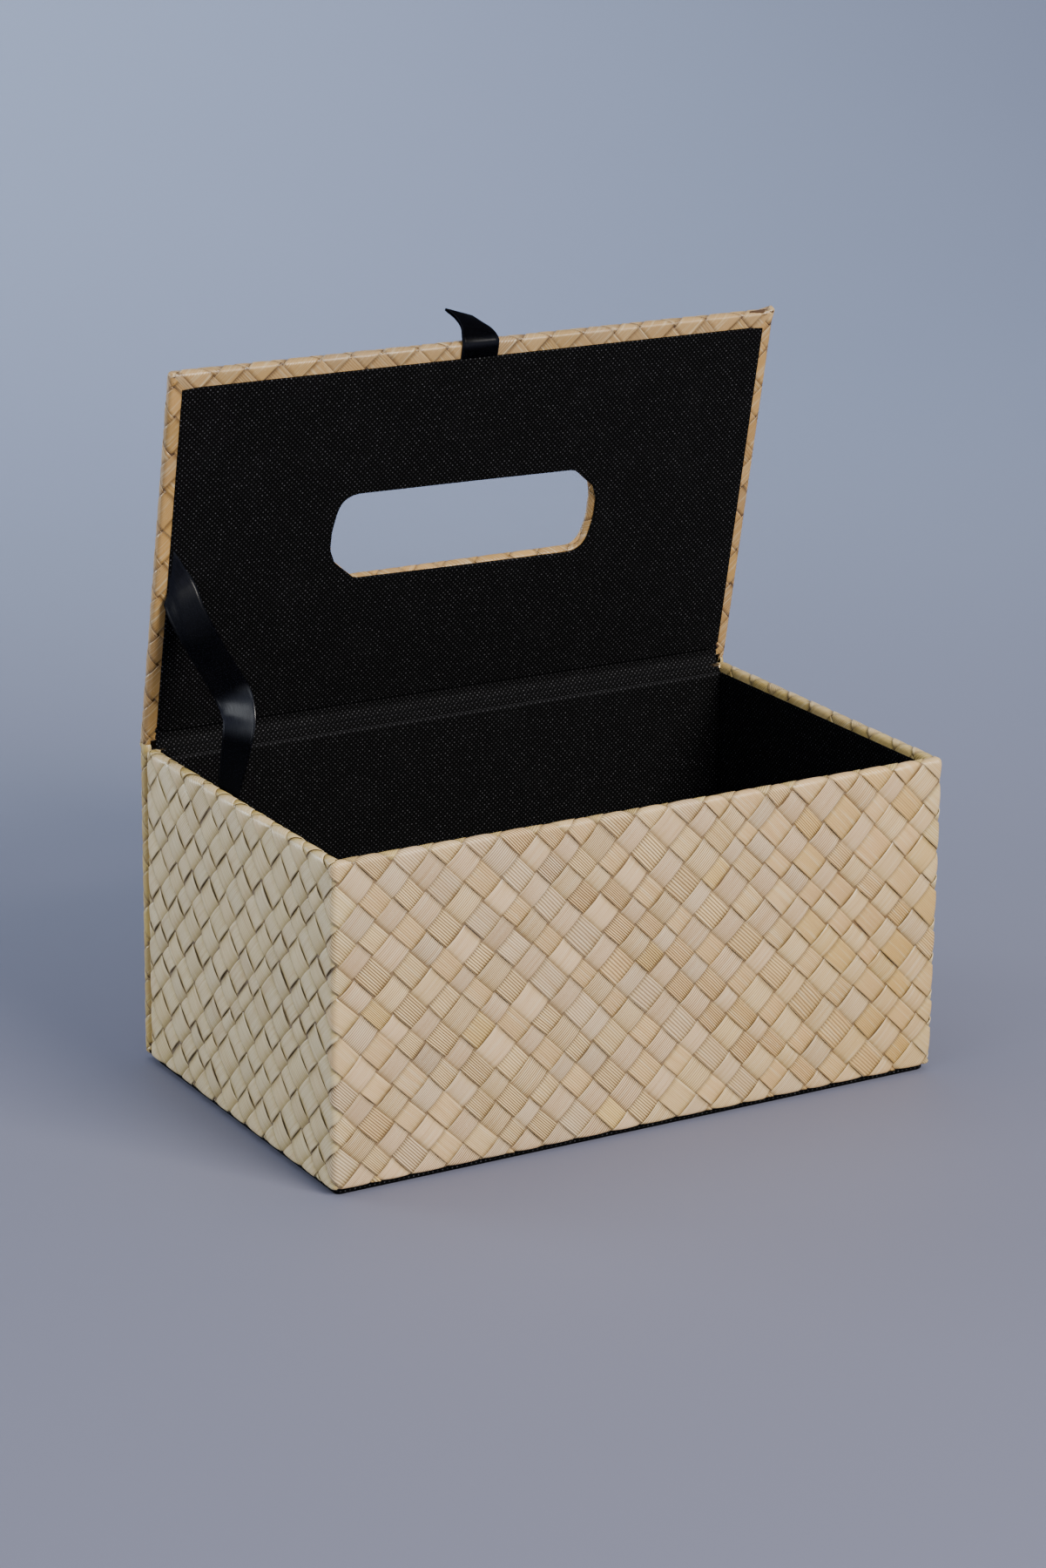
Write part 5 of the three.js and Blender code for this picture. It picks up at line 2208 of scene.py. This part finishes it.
@dataclass
class BasePlate:
    """The cloth-covered plate under the tray."""

    soft: float = 0.9 * MM
    corner: float = 2.0 * MM
    squareness: int = 10
    closing: float = 0.999
    around: int = 200
    profile: int = 9

    def build(self, material: Material) -> Piece:
        """A rounded slab: its edge profile carried round a rounded rectangle, closed above and below.

        Args:
            material: The cloth.

        Returns:
            The piece.
        """
        low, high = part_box("base_plate")
        half = np.array([high.x, high.y])
        centre = np.array([(low.x + high.x) / 2, (low.y + high.y) / 2])
        angle = np.linspace(0, math.tau, self.around, endpoint=False)
        way = np.stack([np.cos(angle), np.sin(angle)], axis=1)
        square = np.sign(way) * np.minimum(np.abs(way) * self.squareness, 1)
        edge = square * (half - self.corner) + way * self.corner
        tilt = np.linspace(-math.pi / 2, math.pi / 2, self.profile)
        cap = [half[1] * self.closing]
        inset = np.concatenate([cap, self.soft * (1 - np.cos(tilt)), cap])
        rise = np.concatenate([[-1], np.sin(tilt), [1]]) * (high.z - low.z) / 2
        shrink = 1 - inset[:, None, None] / half
        points = np.zeros((len(inset), self.around + 1, 3))
        points[..., :2] = centre + np.vstack([edge, edge[:1]])[None] * shrink
        points[..., 2] = (low.z + high.z) / 2 + rise[:, None]
        flat = points.copy()
        flat[..., 1] += points[..., 2]
        surface = Surface.grid(points, {"flat_place": flat}).turned()
        made = surface.piece("base_plate_covered", material)
        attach(made, "box")
        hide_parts("base_plate")
        return made


@dataclass
class Boards:
    """The greyboards, which keep their CAD shape."""

    nodes: tuple[str, ...] = (
        "floor_board",
        "front_wall_board",
        "back_wall_board",
        "left_wall_board",
        "right_wall_board",
        "back_cover_board",
        "lid_board",
    )

    def dress(self, material: Material) -> None:
        """Gives each board its finish.

        Args:
            material: The greyboard.
        """
        for node in self.nodes:
            solid = frame["nodes"][node]
            solid.data.materials.clear()
            solid.data.materials.append(material)


@dataclass(frozen=True)
class Lamp:
    """A square soft light: its place, side, strength in watts, colour and what it points at."""

    name: str
    place: Point
    size: float
    power: float
    tint: Colour
    aim: Point = (0.0, 0.0, 0.12)


@dataclass(frozen=True)
class Studio:
    """Camera, floor and soft light."""

    eye: Point = (-0.7288, -1.2237, 0.5633)
    right: Point = (0.86374, -0.50380, 0.01163)
    down: Point = (-0.14342, -0.26788, -0.95272)
    ahead: Point = (0.48309, 0.82124, -0.30363)
    lens: float = 94.64
    sensor: float = 36.0
    clip: tuple[float, float] = (0.01, 50.0)
    sweep: tuple[tuple[float, float], ...] = ((-3.0, 0.0), (2.2, 0.0), (2.2, 3.5))
    sweep_round: float = 1.2
    sweep_bend: int = 24
    sweep_rows: int = 90
    sweep_half: float = 4.0
    sweep_columns: int = 9
    sky: Rgba = (0.80, 0.87, 1.0, 1.0)
    sky_strength: float = 0.5
    lamps: tuple[Lamp, ...] = (
        Lamp("key", (0.5, -1.85, 1.35), 1.0, 77.0, (1.0, 0.94, 0.85)),
        Lamp("top", (-0.2, 0.3, 2.0), 1.6, 14.0, (0.95, 0.97, 1.0)),
        Lamp("left", (-1.9, -0.5, 0.9), 0.9, 9.0, (0.95, 0.98, 1.0)),
        Lamp("window", (-1.35, 1.35, 0.45), 0.8, 19.0, (0.9, 0.96, 1.0)),
        Lamp("wash", (0.25, 1.15, 1.45), 1.2, 50.0, (0.69, 0.89, 1.0), (1.0, 2.1, 0.55)),
    )

    def camera(self) -> None:
        """The camera at the photograph's place."""
        data = bpy.data.cameras.new("camera")
        data.lens = self.lens
        data.sensor_width = self.sensor
        data.clip_start, data.clip_end = self.clip
        made = bpy.data.objects.new("camera", data)
        axes = Matrix((Vector(self.right), -Vector(self.down), -Vector(self.ahead)))
        made.matrix_world = Matrix.Translation(Vector(self.eye)) @ axes.transposed().to_4x4()
        bpy.context.scene.collection.objects.link(made)
        bpy.context.scene.camera = made

    def floor(self) -> None:
        """One sweep of floor and backdrop: a rounded profile carried across."""
        profile = RoundedPath(self.sweep, [self.sweep_round], steps=self.sweep_bend)
        run = profile.at(np.linspace(0, profile.length, self.sweep_rows))[0]
        points = np.zeros((len(run), self.sweep_columns, 3))
        points[..., 0] = np.linspace(-self.sweep_half, self.sweep_half, self.sweep_columns)
        points[..., 1:] = run[:, None, :]
        surface = Surface.grid(points).turned()
        surface.piece("studio_sweep", FloorFinish().material())

    def light(self, lamp: Lamp) -> None:
        """One square soft light.

        Args:
            lamp: Its place, size, strength, colour and aim.
        """
        data = bpy.data.lights.new(lamp.name, "AREA")
        data.size = lamp.size
        data.energy = lamp.power
        data.color = lamp.tint
        made = bpy.data.objects.new(lamp.name, data)
        made.location = lamp.place
        aim = Vector(lamp.aim) - Vector(lamp.place)
        made.rotation_euler = aim.to_track_quat("-Z", "Y").to_euler()
        bpy.context.scene.collection.objects.link(made)

    def world(self) -> None:
        """An even, faint sky."""
        world = bpy.data.worlds.new("studio_air")
        world.use_nodes = True
        background = world.node_tree.nodes["Background"]
        background.inputs["Color"].default_value = self.sky
        background.inputs["Strength"].default_value = self.sky_strength
        bpy.context.scene.world = world

    def build(self) -> None:
        """The whole studio."""
        self.camera()
        self.floor()
        self.world()
        for lamp in self.lamps:
            self.light(lamp)


def main() -> None:
    logging.basicConfig(level=logging.INFO, format="%(message)s")
    lid = LidFrame.from_joint()
    slot = SlotShape()
    leaf = LeafFinish().material()
    cloth = LiningFinish().material()
    satin = SatinFinish().material()
    Studio().build()
    Boards().dress(BoardFinish().material())
    case = CaseWeave(lid, slot)
    made = [TrayWeave().build(leaf), case.build(leaf), SlotCollar(case).build(leaf)]
    made += CoveredCards().build(cloth)
    made += [LidLining(lid, slot).build(cloth), HingeCloth(lid).build(cloth), BasePlate().build(cloth)]
    made += [StayRibbon(lid).build(satin), PullTab(lid).build(satin)]
    for piece in made:
        log.info("piece %s: %d faces", piece.name, len(piece.data.polygons))


if __name__ == "__main__":
    main()
